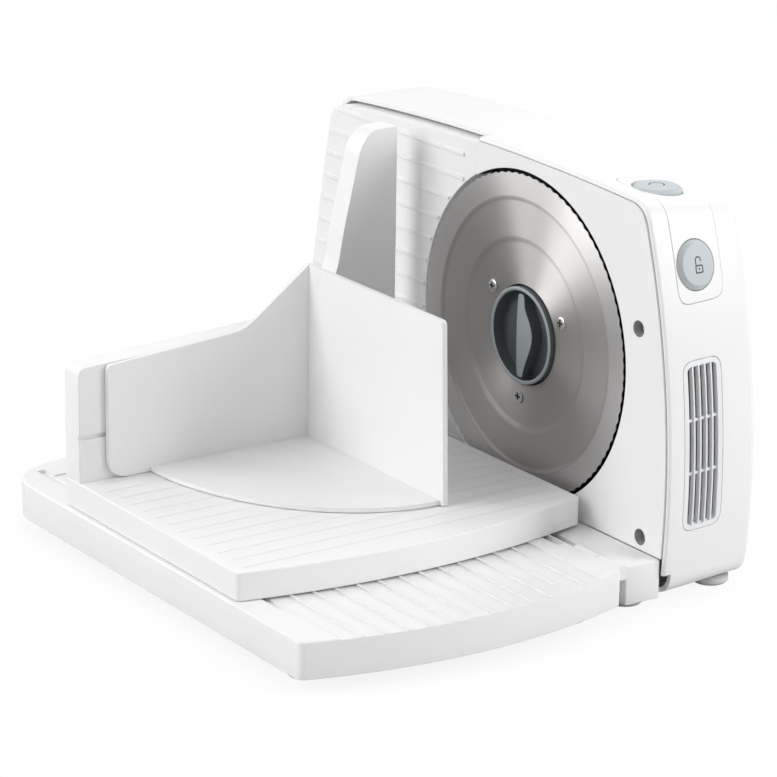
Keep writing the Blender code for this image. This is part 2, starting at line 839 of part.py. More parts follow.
def panel_room(name, gap):
    """The room of the switch panel: round corners seen from above and from the end."""
    corner_r = PANEL_CORNER_R + gap
    front = PANEL_FRONT - gap
    back = PANEL_BACK + gap
    left = PANEL_LEFT - gap
    bottom = PANEL_BOTTOM - gap
    above = [(left, back, corner_r, 0), (WIDE, back, 0, 0), (WIDE, front, 0, 0),
             (left, front, corner_r, 0)]
    beside = [(front, WIDE, 0, 0), (back, WIDE, 0, 0), (back, bottom, corner_r, 0),
              (front, bottom, corner_r, 0)]
    room = prism(name, 'Z', 0, WIDE, rounded_outline(above))
    keep(room, prism(name + "_end", 'X', 0, WIDE, rounded_outline(beside)))
    return as_tool(room)


def vent_prism(name, gap):
    outline = rounded_box_outline(VENT_FRONT - gap, VENT_BOTTOM - gap, VENT_BACK + gap,
                                  VENT_TOP + gap, VENT_CORNER_R + gap)
    return prism(name, 'X', TOP_RIGHT_X, WIDE, outline)


def build_rear_shell():
    shell = housing_solid("rear_shell")
    cut(shell, seam_prism("housing_mouth", -OVERRUN, MOUTH_DEPTH, SEAM_INSET))
    cut(shell, housing_room())
    cut(shell, left_of("stop_room", STOP_SPLIT_X, -OVERRUN, STOP_SETBACK, LEDGE_TOP - GAP))
    cut(shell, box("corner_notch", (PLINTH_RIGHT - 2 * SHELL_WALL, -OVERRUN, -WIDE),
                   (WIDE, NOTCH_DEPTH, NOTCH_TOP)))
    ledge = box("ledge", (BOTTOM_LEFT_X + 2 * SEAM_INSET, SHELL_FRONT + GAP, LEDGE_TOP - STOP_WALL),
                (STOP_SPLIT_X + GAP, STOP_TRAVEL + OVERRUN, LEDGE_TOP))
    join(shell, ledge)
    join(shell, rods("guide_bushes", 'Y', GUIDE_BUSH_FRONT, SHELL_BACK - GAP,
                     (UPPER_GUIDE, LOWER_GUIDE), GUIDE_POST_R + SLIDE_GAP + GUIDE_BUSH_WALL))
    join(shell, rods("screw_bosses", 'Y', WELL_DEPTH + WELL_FLOOR + GAP, SHELL_BACK - SHELL_WALL / 2,
                     (UPPER_WELL, LOWER_WELL), WELL_R + WELL_WALL))
    cut(shell, rods("guide_bores", 'Y', GUIDE_BUSH_FRONT - OVERRUN, SHELL_BACK - SHELL_WALL,
                    (UPPER_GUIDE, LOWER_GUIDE), GUIDE_POST_R + SLIDE_GAP))
    cut(shell, rods("boss_bores", 'Y', 0, WELL_DEPTH + PLATE_SCREW_LENGTH,
                    (UPPER_WELL, LOWER_WELL), PLATE_SCREW_SHANK_R + GAP, TINY_ROUND))
    outlet = rounded_box_outline(OUTLET_LEFT, OUTLET_BOTTOM, OUTLET_RIGHT, OUTLET_TOP,
                                 OUTLET_CORNER_R)
    cut(shell, prism("outlet_opening", 'Y', SHELL_BACK - 2 * SHELL_WALL, SHELL_BACK + OVERRUN,
                     outlet))
    cut(shell, rod("spindle_bore", 'Y', SHELL_BACK - 2 * SHELL_WALL, SHELL_BACK + OVERRUN,
                   (DIAL_X, DIAL_Z), SPINDLE_R + SLIDE_GAP))
    cut(shell, rod("gland_hole", 'Y', SHELL_BACK - 2 * SHELL_WALL, SHELL_BACK + OVERRUN,
                   (GLAND_X, GLAND_Z), GLAND_R + GAP))
    cut(shell, panel_room("panel_opening", PANEL_SEAM))
    cut(shell, vent_prism("vent_opening", PANEL_SEAM))
    cut(shell, rods("back_foot_holes", 'Z', BOTTOM_Z - OVERRUN, BOTTOM_Z + 2 * SHELL_WALL,
                    ((RIGHT_FOOT_X, BACK_FOOT_Y), (LEFT_FOOT_X, BACK_FOOT_Y)),
                    FOOT_STUD_R + GAP, TINY_ROUND))
    cut(shell, rods("tab_screw_holes", 'Z', BOTTOM_Z - OVERRUN, BOTTOM_Z + 2 * SEAM_INSET,
                    [(x, TONGUE_HOLE_Y) for x in TONGUE_PLACES],
                    PLINTH_SCREW_SHANK_R + GAP, TINY_ROUND))
    return finish_part(shell, WHITE, 0.42)


def build_front_plate():
    plate = seam_prism("front_plate", 0, PLATE_THICK, SEAM_INSET + GAP)
    recess_back = RECESS_DEPTH + RECESS_FLOOR
    join(plate, rod("dish", 'Y', PLATE_THICK / 2, recess_back, (0, 0), RECESS_R + RECESS_WALL,
                    BLADE_STEPS))
    join(plate, rods("screw_wells", 'Y', PLATE_THICK / 2, WELL_DEPTH + WELL_FLOOR,
                     (UPPER_WELL, LOWER_WELL), WELL_R + WELL_WALL))
    keep(plate, right_of("plate_limits", DEFLECTOR_FRONT_X, -OVERRUN, RECESS_R, PLATE_BOTTOM_Z))
    gate = left_of("slice_gate", STOP_SPLIT_X, -WIDE, WIDE)
    cut(gate, rod("gate_floor", 'Y', RECESS_DEPTH + GAP, WIDE / 2, (0, 0), RECESS_R, BLADE_STEPS))
    cut(plate, as_tool(gate))
    cut(plate, rod("recess", 'Y', -OVERRUN, RECESS_DEPTH, (0, 0), RECESS_R, BLADE_STEPS))
    near = RECESS_DEPTH + RECESS_FLOOR / 2
    far = SHELL_BACK - SHELL_WALL - GAP
    deflector = [(DEFLECTOR_FRONT_X + GAP, near), (DEFLECTOR_BACK_X, far),
                 (DEFLECTOR_BACK_X + DEFLECTOR_WALL, far),
                 (DEFLECTOR_FRONT_X + DEFLECTOR_WALL, near)]
    join(plate, prism("deflector", 'Z', -DEFLECTOR_REACH, DEFLECTOR_REACH, deflector))
    join(plate, motor_saddles())
    cut(plate, rod("wheel_hole", 'Y', 0, recess_back + OVERRUN, (0, 0), WHEEL_HOLE_R, ROUND))
    cut(plate, rods("well_bores", 'Y', -OVERRUN, WELL_DEPTH, (UPPER_WELL, LOWER_WELL), WELL_R))
    cut(plate, rods("well_screw_bores", 'Y', 0, WELL_DEPTH + WELL_FLOOR + OVERRUN,
                    (UPPER_WELL, LOWER_WELL), PLATE_SCREW_SHANK_R + GAP, TINY_ROUND))
    return finish_part(plate, WHITE, 0.40)


def motor_place():
    pinion_x = pinion_place()[0]
    worm_wheel_pitch_r = WORM_WHEEL_TEETH * WORM_WHEEL_MODULE / 2
    return pinion_x + worm_wheel_pitch_r + WORM_R, WORM_WHEEL_FRONT + WORM_WHEEL_WIDTH / 2


def pinion_place():
    reach = GEAR_MODULE * (WHEEL_TEETH + PINION_TEETH) / 2
    return reach * math.cos(TRAIN_ANGLE), reach * math.sin(TRAIN_ANGLE)


def motor_saddles():
    """Two ribs behind the blade recess that carry the motor."""
    x, y = motor_place()
    front = RECESS_DEPTH + RECESS_FLOOR / 2
    levels = (MOTOR_TOP - SADDLE_INSET, MOTOR_TOP - MOTOR_LENGTH + SADDLE_INSET)
    saddles = boxes("motor_saddles", [((x - SADDLE_REACH, front, z - RIB_THICK),
                                       (x + SADDLE_REACH / 2, y - MOTOR_R / 2, z + RIB_THICK))
                                      for z in levels])
    cut(saddles, rod("motor_bed", 'Z', MOTOR_TOP - 2 * MOTOR_LENGTH, 0, (x, y),
                     MOTOR_R + GAP, ROUND))
    keep(saddles, rod("saddle_limits", 'Y', 0, WIDE, (0, 0), RECESS_R, ROUND))
    return saddles


def build_plate_screws():
    for name, place in (("upper", UPPER_WELL), ("lower", LOWER_WELL)):
        floor = -WELL_DEPTH
        profile = [(0, floor + GAP + PLATE_SCREW_HEAD_THICK),
                   (PLATE_SCREW_HEAD_R, floor + GAP + PLATE_SCREW_HEAD_THICK),
                   (PLATE_SCREW_HEAD_R, floor + GAP), (PLATE_SCREW_SHANK_R, floor + GAP),
                   (PLATE_SCREW_SHANK_R, floor - PLATE_SCREW_LENGTH + OVERRUN),
                   (0, floor - PLATE_SCREW_LENGTH + OVERRUN)]
        screw = turned(name + "_plate_screw", (place[0], 0, place[1]), profile, TINY_ROUND)
        finish_part(screw, BRIGHT_STEEL, 0.3, 1.0)


def skin_band(name, start, end):
    """A skin of one wall thickness under the housing's outline, between two depths."""
    band = seam_prism(name, start, end, 0)
    cut(band, seam_prism(name + "_hollow", 0, SHELL_BACK, SHELL_WALL))
    return band


def button_room(name, place, facing):
    """Bore for a button and, through the well's floor, the narrower one for its stem."""
    bore_r = BUTTON_R + BUTTON_GAP
    stem_r = BUTTON_STEM_R + SLIDE_GAP
    floor = BUTTON_WELL_FLOOR - BUTTON_WELL_DEPTH
    profile = [(0, BUTTON_PROUD * 2), (bore_r, BUTTON_PROUD * 2), (bore_r, floor), (stem_r, floor),
               (stem_r, -BUTTON_WELL_DEPTH - OVERRUN), (0, -BUTTON_WELL_DEPTH - OVERRUN)]
    return turned(name + "_button_room", place, profile, ROUND, facing, 0.5)


def build_switch_panel():
    panel = skin_band("switch_panel", PANEL_FRONT, PANEL_BACK)
    keep(panel, panel_room("panel_limits", 0))
    for name, (place, facing) in (("top", top_button_place()), ("side", side_button_place())):
        outer_r = BUTTON_R + BUTTON_GAP + BUTTON_WELL_WALL
        block = [(0, -SHELL_WALL / 2), (outer_r, -SHELL_WALL / 2), (outer_r, -BUTTON_WELL_DEPTH),
                 (0, -BUTTON_WELL_DEPTH)]
        well = turned(name + "_well", place, block, ROUND, facing)
        limits = seam_prism(name + "_well_limits", PANEL_FRONT, SHELL_BACK, SHELL_WALL / 4)
        join(limits, seam_prism(name + "_deep_limits", PANEL_FRONT / 2, SHELL_BACK,
                                SHELL_WALL + GAP))
        keep(well, as_tool(limits))
        join(panel, as_tool(well))
        cut(panel, button_room(name, place, facing))
    return finish_part(panel, WHITE, 0.40)


def build_buttons():
    for name, (place, facing) in (("top", top_button_place()), ("side", side_button_place())):
        crown = BUTTON_PROUD
        under = crown - BUTTON_THICK
        profile = [(0, crown),
                   (BUTTON_R * DOME_MIDDLE_SHARE, crown - BUTTON_DOME * DOME_MIDDLE_DROP_SHARE),
                   (BUTTON_R - BUTTON_DOME, crown - BUTTON_DOME * DOME_SHOULDER_DROP_SHARE),
                   (BUTTON_R, crown - BUTTON_DOME * DOME_EDGE_DROP_SHARE),
                   (BUTTON_R, under - BUTTON_SKIRT), (BUTTON_R - BUTTON_WELL_WALL, under - BUTTON_SKIRT),
                   (BUTTON_R - BUTTON_WELL_WALL, under), (BUTTON_STEM_R, under),
                   (BUTTON_STEM_R, crown - BUTTON_THICK - BUTTON_STEM_LENGTH),
                   (0, crown - BUTTON_THICK - BUTTON_STEM_LENGTH)]
        button = turned(name + "_button", place, profile, ROUND, facing)
        finish_part(button, GREY, 0.45)
        build_spring(name + "_button_spring", place, facing, under - GAP,
                     BUTTON_WELL_FLOOR - BUTTON_WELL_DEPTH + GAP)
        build_switch(name + "_switch", place, facing)


def frame_towards(facing):
    """Turns a shape built along +Z to a facing direction, its Y direction kept as near as it goes."""
    side = Vector((0, 1, 0)).cross(facing).normalized()
    return Matrix((side, facing.cross(side), facing)).transposed().to_4x4()


def build_spring(name, place, facing, top, bottom, steps_per_turn=10, wire_sides=4):
    """A coil spring between two heights along its facing direction."""
    rings = []
    steps = SPRING_TURNS * steps_per_turn
    low = bottom + SPRING_WIRE_R
    high = top - SPRING_WIRE_R
    for step in range(steps + 1):
        angle = 2 * math.pi * step / steps_per_turn
        outward = Vector((math.cos(angle), math.sin(angle), 0))
        centre = outward * SPRING_R + Vector((0, 0, low + (high - low) * step / steps))
        ring = []
        for side in range(wire_sides):
            turn = 2 * math.pi * side / wire_sides
            ring.append(centre + (outward * math.cos(turn) + Vector((0, 0, math.sin(turn))))
                        * SPRING_WIRE_R)
        rings.append(ring)
    spring = loft(name, rings)
    spring.data.transform(frame_towards(facing))
    spring.location = place
    finish_part(spring, BRIGHT_STEEL, 0.3, 1.0)


def build_switch(name, place, facing):
    """A snap switch under a button, hung by two ears from the well over it.

    Its plunger stays just clear of the pressed button's stem.
    """
    stem_end = BUTTON_PROUD - BUTTON_THICK - BUTTON_STEM_LENGTH
    plunger_top = stem_end - BUTTON_TRAVEL - GAP
    body_top = plunger_top - SWITCH_PLUNGER_LENGTH
    half_width = SWITCH_WIDTH / 2
    half_length = SWITCH_LENGTH / 2
    switch = box(name, (-half_width, -half_length, body_top - SWITCH_HEIGHT),
                 (half_width, half_length, body_top))
    plunger = rod(name + "_plunger", 'Z', body_top - GAP, plunger_top, (0, 0), SWITCH_PLUNGER_R,
                  TINY_ROUND)
    ear_top = -BUTTON_WELL_DEPTH - GAP
    ears = boxes(name + "_ears", [((-half_width + GAP, min(side, side * (1 - SWITCH_EAR_SHARE)),
                                    body_top - GAP),
                                   (half_width - GAP, max(side, side * (1 - SWITCH_EAR_SHARE)), ear_top))
                                  for side in (GAP - half_length, half_length - GAP)])
    for piece in (switch, plunger, ears):
        piece.data.transform(frame_towards(facing))
        piece.location = place
    join(switch, plunger)
    join(switch, ears)
    finish_part(switch, BLACK, 0.5)


def build_vent_grille():
    grille = skin_band("vent_grille", VENT_FRONT, VENT_BACK)
    keep(grille, vent_prism("grille_limits", 0))
    inner_width = VENT_BACK - VENT_FRONT - 2 * VENT_BORDER
    pitch = inner_width / VENT_SLOTS
    row_height = (VENT_TOP - VENT_BOTTOM - 2 * VENT_BORDER) / VENT_BARS
    slots = []
    furrows = []
    for column in range(VENT_SLOTS):
        left = VENT_FRONT + VENT_BORDER + (column + 0.5) * pitch - VENT_SLOT_WIDTH / 2
        right = left + VENT_SLOT_WIDTH
        furrows.append(((TOP_RIGHT_X, left, VENT_BOTTOM), (WIDE, right, VENT_TOP)))
        for row in range(VENT_BARS):
            bottom = VENT_BOTTOM + VENT_BORDER + row * row_height + VENT_RIB / 2
            slots.append(((TOP_RIGHT_X, left, bottom), (WIDE, right, bottom + row_height - VENT_RIB)))
    for name, pairs in (("vent_slots", slots), ("vent_furrows", furrows)):
        opening = boxes(name, pairs)
        keep(opening, vent_prism(name + "_limits", -VENT_BORDER))
        if pairs == furrows:
            cut(opening, seam_prism("vent_rib_level", 0, SHELL_BACK, VENT_RIB_SINK))
        cut(grille, as_tool(opening))
    return finish_part(grille, SOFT_WHITE, 0.45)


def stop_shape(name, start, end, inset, arc_r):
    """The stop plate's outline, drawn in by inset beyond its running gap."""
    shape = seam_prism(name, start, end, SEAM_INSET + STOP_SEAM_GAP + inset)
    keep(shape, left_of(name + "_limits", STOP_SPLIT_X - SLIDE_GAP - inset, start - OVERRUN,
                        end + OVERRUN, PLATE_BOTTOM_Z + inset))
    cut(shape, rod(name + "_arc", 'Y', start - OVERRUN, end + OVERRUN, (0, 0), arc_r, BLADE_STEPS))
    return shape


def build_stop_plate():
    plate = stop_shape("stop_plate", STOP_RIB_HEIGHT, STOP_SKIRT, 0, STOP_ARC_R)
    pocket = stop_shape("stop_pocket", STOP_RIB_HEIGHT + STOP_WALL, STOP_SKIRT + OVERRUN, STOP_WALL,
                        STOP_ARC_R + STOP_WALL)
    cut(plate, as_tool(pocket))
    ribs = boxes("stop_ribs", [((-WIDE, 0, STOP_RIB_TOP_Z - STOP_RIB_PITCH * row),
                                (STOP_SPLIT_X, STOP_RIB_HEIGHT + GAP,
                                 STOP_RIB_TOP_Z - STOP_RIB_PITCH * row + STOP_RIB_WIDTH))
                               for row in range(STOP_RIBS)])
    keep(ribs, stop_shape("rib_limits", -OVERRUN, STOP_SKIRT, STOP_RIB_MARGIN,
                          STOP_ARC_R + STOP_RIB_ARC_GAP))
    keep(ribs, left_of("rib_ends", STOP_SPLIT_X - STOP_RIB_END_GAP, -OVERRUN, STOP_SKIRT))
    join(plate, ribs)
    join(plate, rods("guide_posts", 'Y', STOP_RIB_HEIGHT + STOP_WALL / 2,
                     STOP_WALL + GUIDE_POST_LENGTH, (UPPER_GUIDE, LOWER_GUIDE), GUIDE_POST_R))
    nut_r = SPINDLE_R + SPINDLE_THREAD + THREAD_GAP + NUT_WALL
    join(plate, rod("nut", 'Y', STOP_RIB_HEIGHT + STOP_WALL / 2, NUT_END, (DIAL_X, DIAL_Z), nut_r))
    cut(plate, threaded_bar("nut_thread", STOP_RIB_HEIGHT + 2 * STOP_WALL, NUT_END + OVERRUN,
                            THREAD_GAP))
    return finish_part(plate, WHITE, 0.40)


def threaded_bar(name, start, end, gap, sides=15, steps_per_turn=12):
    """A steep three-start thread along Y round the dial's axis; one turn equals its lead."""
    turns = (end - start) / THREAD_LEAD
    steps = math.ceil(turns * steps_per_turn)
    rings = []
    for step in range(steps + 1):
        y = start + (end - start) * step / steps
        twist = -2 * math.pi * y / THREAD_LEAD
        ring = []
        for side in range(sides):
            angle = 2 * math.pi * side / sides
            wave = math.cos(SPINDLE_LOBES * (angle - twist))
            radius = SPINDLE_R + gap + SPINDLE_THREAD * (1 + wave) / 2
            ring.append((DIAL_X + radius * math.cos(angle), y, DIAL_Z + radius * math.sin(angle)))
        rings.append(ring)
    return loft(name, rings)


def build_dial():
    """Thickness dial behind the housing: knob, plain shank through the wall, collar and thread."""
    back = SHELL_BACK + GAP
    dial = threaded_bar("thickness_dial", SPINDLE_TIP, SHELL_BACK - 4 * SHELL_WALL, 0)
    collar_front = SHELL_BACK - SHELL_WALL - GAP - SPINDLE_COLLAR_THICK
    join(dial, rod("spindle_shank", 'Y', SHELL_BACK - 5 * SHELL_WALL, back + DIAL_RING_THICK + GAP,
                   (DIAL_X, DIAL_Z), SPINDLE_R))
    join(dial, rod("spindle_collar", 'Y', collar_front, collar_front + SPINDLE_COLLAR_THICK,
                   (DIAL_X, DIAL_Z), SPINDLE_COLLAR_R))
    knob_front = back + DIAL_RING_THICK
    profile = [(0, DIAL_KNOB_THICK), (DIAL_KNOB_R - 2 * DIAL_RING_THICK, DIAL_KNOB_THICK),
               (DIAL_KNOB_R - DIAL_RING_THICK, DIAL_KNOB_THICK - DIAL_RING_THICK),
               (DIAL_KNOB_R, 0), (0, 0)]
    knob = turned("dial_knob", (DIAL_X, knob_front, DIAL_Z), profile, ROUND, (0, 1, 0))
    flutes = []
    for flute in range(DIAL_FLUTES):
        angle = 2 * math.pi * (flute + 0.5) / DIAL_FLUTES
        flutes.append((DIAL_X + (DIAL_KNOB_R + DIAL_FLUTE_R / 3) * math.cos(angle),
                       DIAL_Z + (DIAL_KNOB_R + DIAL_FLUTE_R / 3) * math.sin(angle)))
    cut(knob, rods("dial_flutes", 'Y', knob_front + DIAL_RING_THICK * 2,
                   knob_front + 2 * DIAL_KNOB_THICK, flutes, DIAL_FLUTE_R, TINY_ROUND))
    join(dial, knob)
    place_origin(dial, (DIAL_X, knob_front, DIAL_Z))
    return finish_part(dial, GREY, 0.45)


def place_origin(part, point):
    """Moves a part's origin without moving its shape."""
    shift = Vector(point) - part.location
    part.data.transform(Matrix.Translation(-shift))
    part.location = point


def wave_radius(radius, angle):
    return radius - SCALLOP_DEPTH * (1 - math.cos(SCALLOPS * angle)) / 2


def build_blade():
    """A disc with two pressed steps, a ground bevel outside them and a scalloped edge."""
    hole_r = KNOB_RIM_R + BLADE_HOLE_GAP
    swell_r = BLADE_SCREW_CIRCLE_R + BLADE_SWELL_MARGIN
    ring_r = BLADE_R - BLADE_BEVEL_WIDTH
    half_step = BLADE_STEP_WIDTH / 2
    front = [(hole_r, BLADE_SWELL_DEPTH + BLADE_DISH),
             (swell_r - half_step, BLADE_SWELL_DEPTH + BLADE_DISH),
             (swell_r + half_step, BLADE_DISH), (ring_r - half_step, BLADE_DISH),
             (ring_r + half_step, BLADE_DISH / 2)]
    back = [(radius, y + BLADE_THICK) for radius, y in reversed(front)]
    profile = front + [(BLADE_R, 0), (BLADE_R, BLADE_EDGE_THICK)] + back
    bm = bmesh.new()
    loops = [blade_loop(bm, radius, y) for radius, y in profile]
    for first, second in zip(loops, loops[1:] + loops[:1]):
        join_loops(bm, first, second)
    blade = mesh_from(bm, "blade")
    places = [(BLADE_SCREW_CIRCLE_R * math.cos(angle), BLADE_SCREW_CIRCLE_R * math.sin(angle))
              for angle in BLADE_SCREW_ANGLES]
    cut(blade, rods("blade_screw_holes", 'Y', -BLADE_R, BLADE_R, places,
                    BLADE_SCREW_SHANK_R + GAP, TINY_ROUND))
    return finish_part(blade, STEEL, 0.28, 1.0)


def blade_loop(bm, radius, y):
    """A ring of the blade: one point per scallop, and on the edge one between them too."""
    steps = SCALLOPS * EDGE_POINT_COUNT if radius == BLADE_R else SCALLOPS
    loop = []
    for step in range(steps):
        angle = 2 * math.pi * step / steps
        here = wave_radius(radius, angle) if radius == BLADE_R else radius
        loop.append(bm.verts.new((here * math.cos(angle), y, here * math.sin(angle))))
    return loop


def join_loops(bm, first, second):
    """Faces between two rings, of which either may have more points than the other."""
    if len(first) > len(second):
        first, second = second, first
    ratio = len(second) // len(first)
    for step in range(len(first)):
        after = (step + 1) % len(first)
        outer = [second[(step * ratio + i) % len(second)] for i in range(ratio + 1)]
        if ratio == 1:
            bm.faces.new((first[step], first[after], outer[1], outer[0]))
            continue
        half = ratio // 2
        for i in range(ratio):
            bm.faces.new((first[step] if i < half else first[after], outer[i], outer[i + 1]))
        bm.faces.new((first[step], outer[half], first[after]))


def gear_outline(teeth, module, centre, phase):
    """Tooth by tooth outline of a spur gear, with a tooth centred on the phase angle."""
    pitch_r = teeth * module / 2
    root = pitch_r - module * TOOTH_ROOT_SHARE
    tip = pitch_r + module * TOOTH_TIP_SHARE
    foot, crest = TOOTH_FOOT_WIDTH_SHARE, TOOTH_CREST_WIDTH_SHARE
    marks = ((-foot, root), (-crest, tip), (crest, tip), (foot, root))
    outline = []
    for tooth in range(teeth):
        for share, radius in marks:
            angle = phase + (tooth + share) * 2 * math.pi / teeth
            outline.append((centre[0] + radius * math.cos(angle),
                            centre[1] + radius * math.sin(angle)))
    return outline


def build_blade_wheel():
    """The toothed wheel that carries the blade: flange, rim, web and hub."""
    blade_back = BLADE_SWELL_DEPTH + BLADE_DISH + BLADE_THICK
    flange = blade_back + GAP
    flange_back = flange + WHEEL_FLANGE_THICK
    rim_root = GEAR_MODULE * (WHEEL_TEETH / 2 - TOOTH_ROOT_SHARE) - 2 * GAP
    rim_inner = rim_root - WHEEL_WALL
    web_back = WHEEL_WEB_FRONT + WHEEL_WEB_THICK
    teeth_back = WHEEL_TEETH_FRONT + WHEEL_TEETH_WIDTH
    hole_r = KNOB_RIM_R + BLADE_HOLE_GAP
    bore_r = AXLE_R + RUN_GAP
    profile = [(hole_r, -flange), (WHEEL_FLANGE_R, -flange), (WHEEL_FLANGE_R, -flange_back),
               (rim_root, -flange_back - WHEEL_WALL), (rim_root, -teeth_back - GAP),
               (rim_inner, -teeth_back - GAP),
               (rim_inner, -web_back), (WHEEL_HUB_R, -web_back), (WHEEL_HUB_R, -WHEEL_HUB_END),
               (bore_r, -WHEEL_HUB_END), (bore_r, -WHEEL_WEB_FRONT), (rim_inner, -WHEEL_WEB_FRONT),
               (rim_inner, -flange_back), (hole_r, -flange_back)]
    wheel = turned("blade_wheel", (0, 0, 0), profile, ROUND)
    teeth = prism("wheel_teeth", 'Y', WHEEL_TEETH_FRONT, teeth_back,
                  gear_outline(WHEEL_TEETH, GEAR_MODULE, (0, 0), TRAIN_ANGLE))
    cut(teeth, rod("teeth_bore", 'Y', 0, WIDE, (0, 0), rim_root - WHEEL_WALL / 2, ROUND))
    join(wheel, teeth)
    join(wheel, knob_bridges())
    places = [(BLADE_SCREW_CIRCLE_R * math.cos(angle), BLADE_SCREW_CIRCLE_R * math.sin(angle))
              for angle in BLADE_SCREW_ANGLES]
    cut(wheel, rods("wheel_screw_holes", 'Y', 0, flange_back + OVERRUN, places,
                    BLADE_SCREW_SHANK_R + GAP, TINY_ROUND))
    return finish_part(wheel, GEAR_WHITE, 0.5)


def knob_bridges():
    """Two bridges on the wheel's web that the lock knob's lugs turn under."""
    pairs = []
    for side in (-1, 1):
        inner = side * (KNOB_HUB_R + SLIDE_GAP)
        outer = side * (KNOB_HUB_R + KNOB_LUG_LENGTH + 2 * SLIDE_GAP + RIB_THICK)
        post = side * (KNOB_HUB_R + KNOB_LUG_LENGTH + 2 * SLIDE_GAP)
        low_x, high_x = sorted((inner, outer))
        post_low, post_high = sorted((post, outer))
        roof_back = LUG_FRONT - SLIDE_GAP
        pairs.append(((low_x, roof_back - RIB_THICK, -KNOB_LUG_WIDTH / 2),
                      (high_x, roof_back, KNOB_LUG_WIDTH / 2)))
        pairs.append(((post_low, roof_back - RIB_THICK, -KNOB_LUG_WIDTH / 2),
                      (post_high, WHEEL_WEB_FRONT + GAP, KNOB_LUG_WIDTH / 2)))
    bridges = boxes("knob_bridges_roofs", pairs[0::2])
    join(bridges, boxes("knob_bridges_posts", pairs[1::2]))
    return bridges


def build_blade_screws():
    face = BLADE_SWELL_DEPTH + BLADE_DISH - GAP
    for number, angle in enumerate(BLADE_SCREW_ANGLES, 1):
        place = (BLADE_SCREW_CIRCLE_R * math.cos(angle), face,
                 BLADE_SCREW_CIRCLE_R * math.sin(angle))
        profile = [(0, BLADE_SCREW_HEAD_THICK),
                   (BLADE_SCREW_HEAD_R * SCREW_CROWN_SHARE, BLADE_SCREW_HEAD_THICK),
                   (BLADE_SCREW_HEAD_R, BLADE_SCREW_HEAD_THICK / 2), (BLADE_SCREW_HEAD_R, 0),
                   (BLADE_SCREW_SHANK_R, 0), (BLADE_SCREW_SHANK_R, -BLADE_SCREW_LENGTH),
                   (0, -BLADE_SCREW_LENGTH)]
        screw = turned("blade_screw_" + str(number), place, profile, SMALL_ROUND)
        head = BLADE_SCREW_HEAD_R * CROSS_REACH_SHARE
        slot = BLADE_SCREW_HEAD_R * CROSS_WIDTH_SHARE
        cross = boxes("screw_cross_" + str(number),
                      [((place[0] - head, face - 2 * BLADE_SCREW_HEAD_THICK, place[2] - slot),
                        (place[0] + head, face - BLADE_SCREW_HEAD_THICK / 2, place[2] + slot))])
        cut(screw, cross)
        upright = boxes("screw_upright_" + str(number),
                        [((place[0] - slot, face - 2 * BLADE_SCREW_HEAD_THICK, place[2] - head),
                          (place[0] + slot, face - BLADE_SCREW_HEAD_THICK / 2, place[2] + head))])
        cut(screw, upright)
        finish_part(screw, BRIGHT_STEEL, 0.25, 1.0)


def vane_outline(steps=10):
    """A slim upright grip with round ends, straight on one side and swelling on the other."""
    half = VANE_LENGTH / 2
    right = [(0, half)]
    left = [(0, -half)]
    for step in range(1, steps):
        turn = math.pi * step / steps
        z = half * math.cos(turn)
        edge = VANE_TIP_WIDTH / 2 * math.sin(turn) ** VANE_END_SHARE
        down_share = (1 - math.cos(turn)) / 2
        swell_share = max(0, down_share - VANE_SWELL_START_SHARE) / (1 - VANE_SWELL_START_SHARE)
        swell = math.sin(math.pi * swell_share ** VANE_SWELL_LEAN_SHARE)
        right.append((edge + (VANE_WIDTH - VANE_TIP_WIDTH) * swell, z))
        left.insert(1, (-edge, z))
    return right + left


def build_lock_knob():
    """Recessed cup with an upright grip; its lugs turn under the wheel's bridges."""
    rim = KNOB_RIM_PROUD
    floor = rim - KNOB_CUP_DEPTH
    under = floor - KNOB_FLOOR
    hub_end = -(WHEEL_WEB_FRONT - SLIDE_GAP)
    inner_r = KNOB_RIM_R - KNOB_CUP_WALL
    bore_r = AXLE_R + RUN_GAP
    chamfer = KNOB_CUP_WALL / 3
    profile = [(0, floor), (inner_r, floor), (inner_r, rim - chamfer), (inner_r + chamfer, rim),
               (KNOB_RIM_R - chamfer, rim), (KNOB_RIM_R, rim - chamfer), (KNOB_RIM_R, under),
               (KNOB_HUB_R, under), (KNOB_HUB_R, hub_end), (bore_r, hub_end),
               (bore_r, under - AXLE_NOSE), (0, under - AXLE_NOSE)]
    knob = turned("lock_knob", (0, 0, 0), profile, ROUND)
    join(knob, prism("knob_vane", 'Y', -rim + VANE_BELOW_RIM, -floor + GAP, vane_outline()))
    reach = KNOB_HUB_R + KNOB_LUG_LENGTH
    lugs = box("knob_lugs", (-reach, LUG_FRONT, -KNOB_LUG_WIDTH / 2 + SLIDE_GAP),
               (reach, -hub_end - SLIDE_GAP, KNOB_LUG_WIDTH / 2 - SLIDE_GAP))
    cut(lugs, rod("lug_bore", 'Y', 0, WIDE, (0, 0), (KNOB_HUB_R + bore_r) / 2, ROUND))
    join(knob, lugs)
    return finish_part(knob, DARK_GREY, 0.45)


def build_axles():
    nose = -(KNOB_RIM_PROUD - KNOB_CUP_DEPTH - KNOB_FLOOR) + AXLE_NOSE + SLIDE_GAP
    axle = rod("blade_axle", 'Y', nose, BRACKET_FRONT + BRACKET_THICK - GAP, (0, 0), AXLE_R, ROUND)
    finish_part(axle, BRIGHT_STEEL, 0.25, 1.0)
    pinion_front = RECESS_DEPTH + RECESS_FLOOR + 2 * GAP
    gear_axle = rod("gear_axle", 'Y', pinion_front, BRACKET_FRONT + BRACKET_THICK - GAP, pinion_place(),
                    PINION_AXLE_R, ROUND)
    finish_part(gear_axle, BRIGHT_STEEL, 0.25, 1.0)


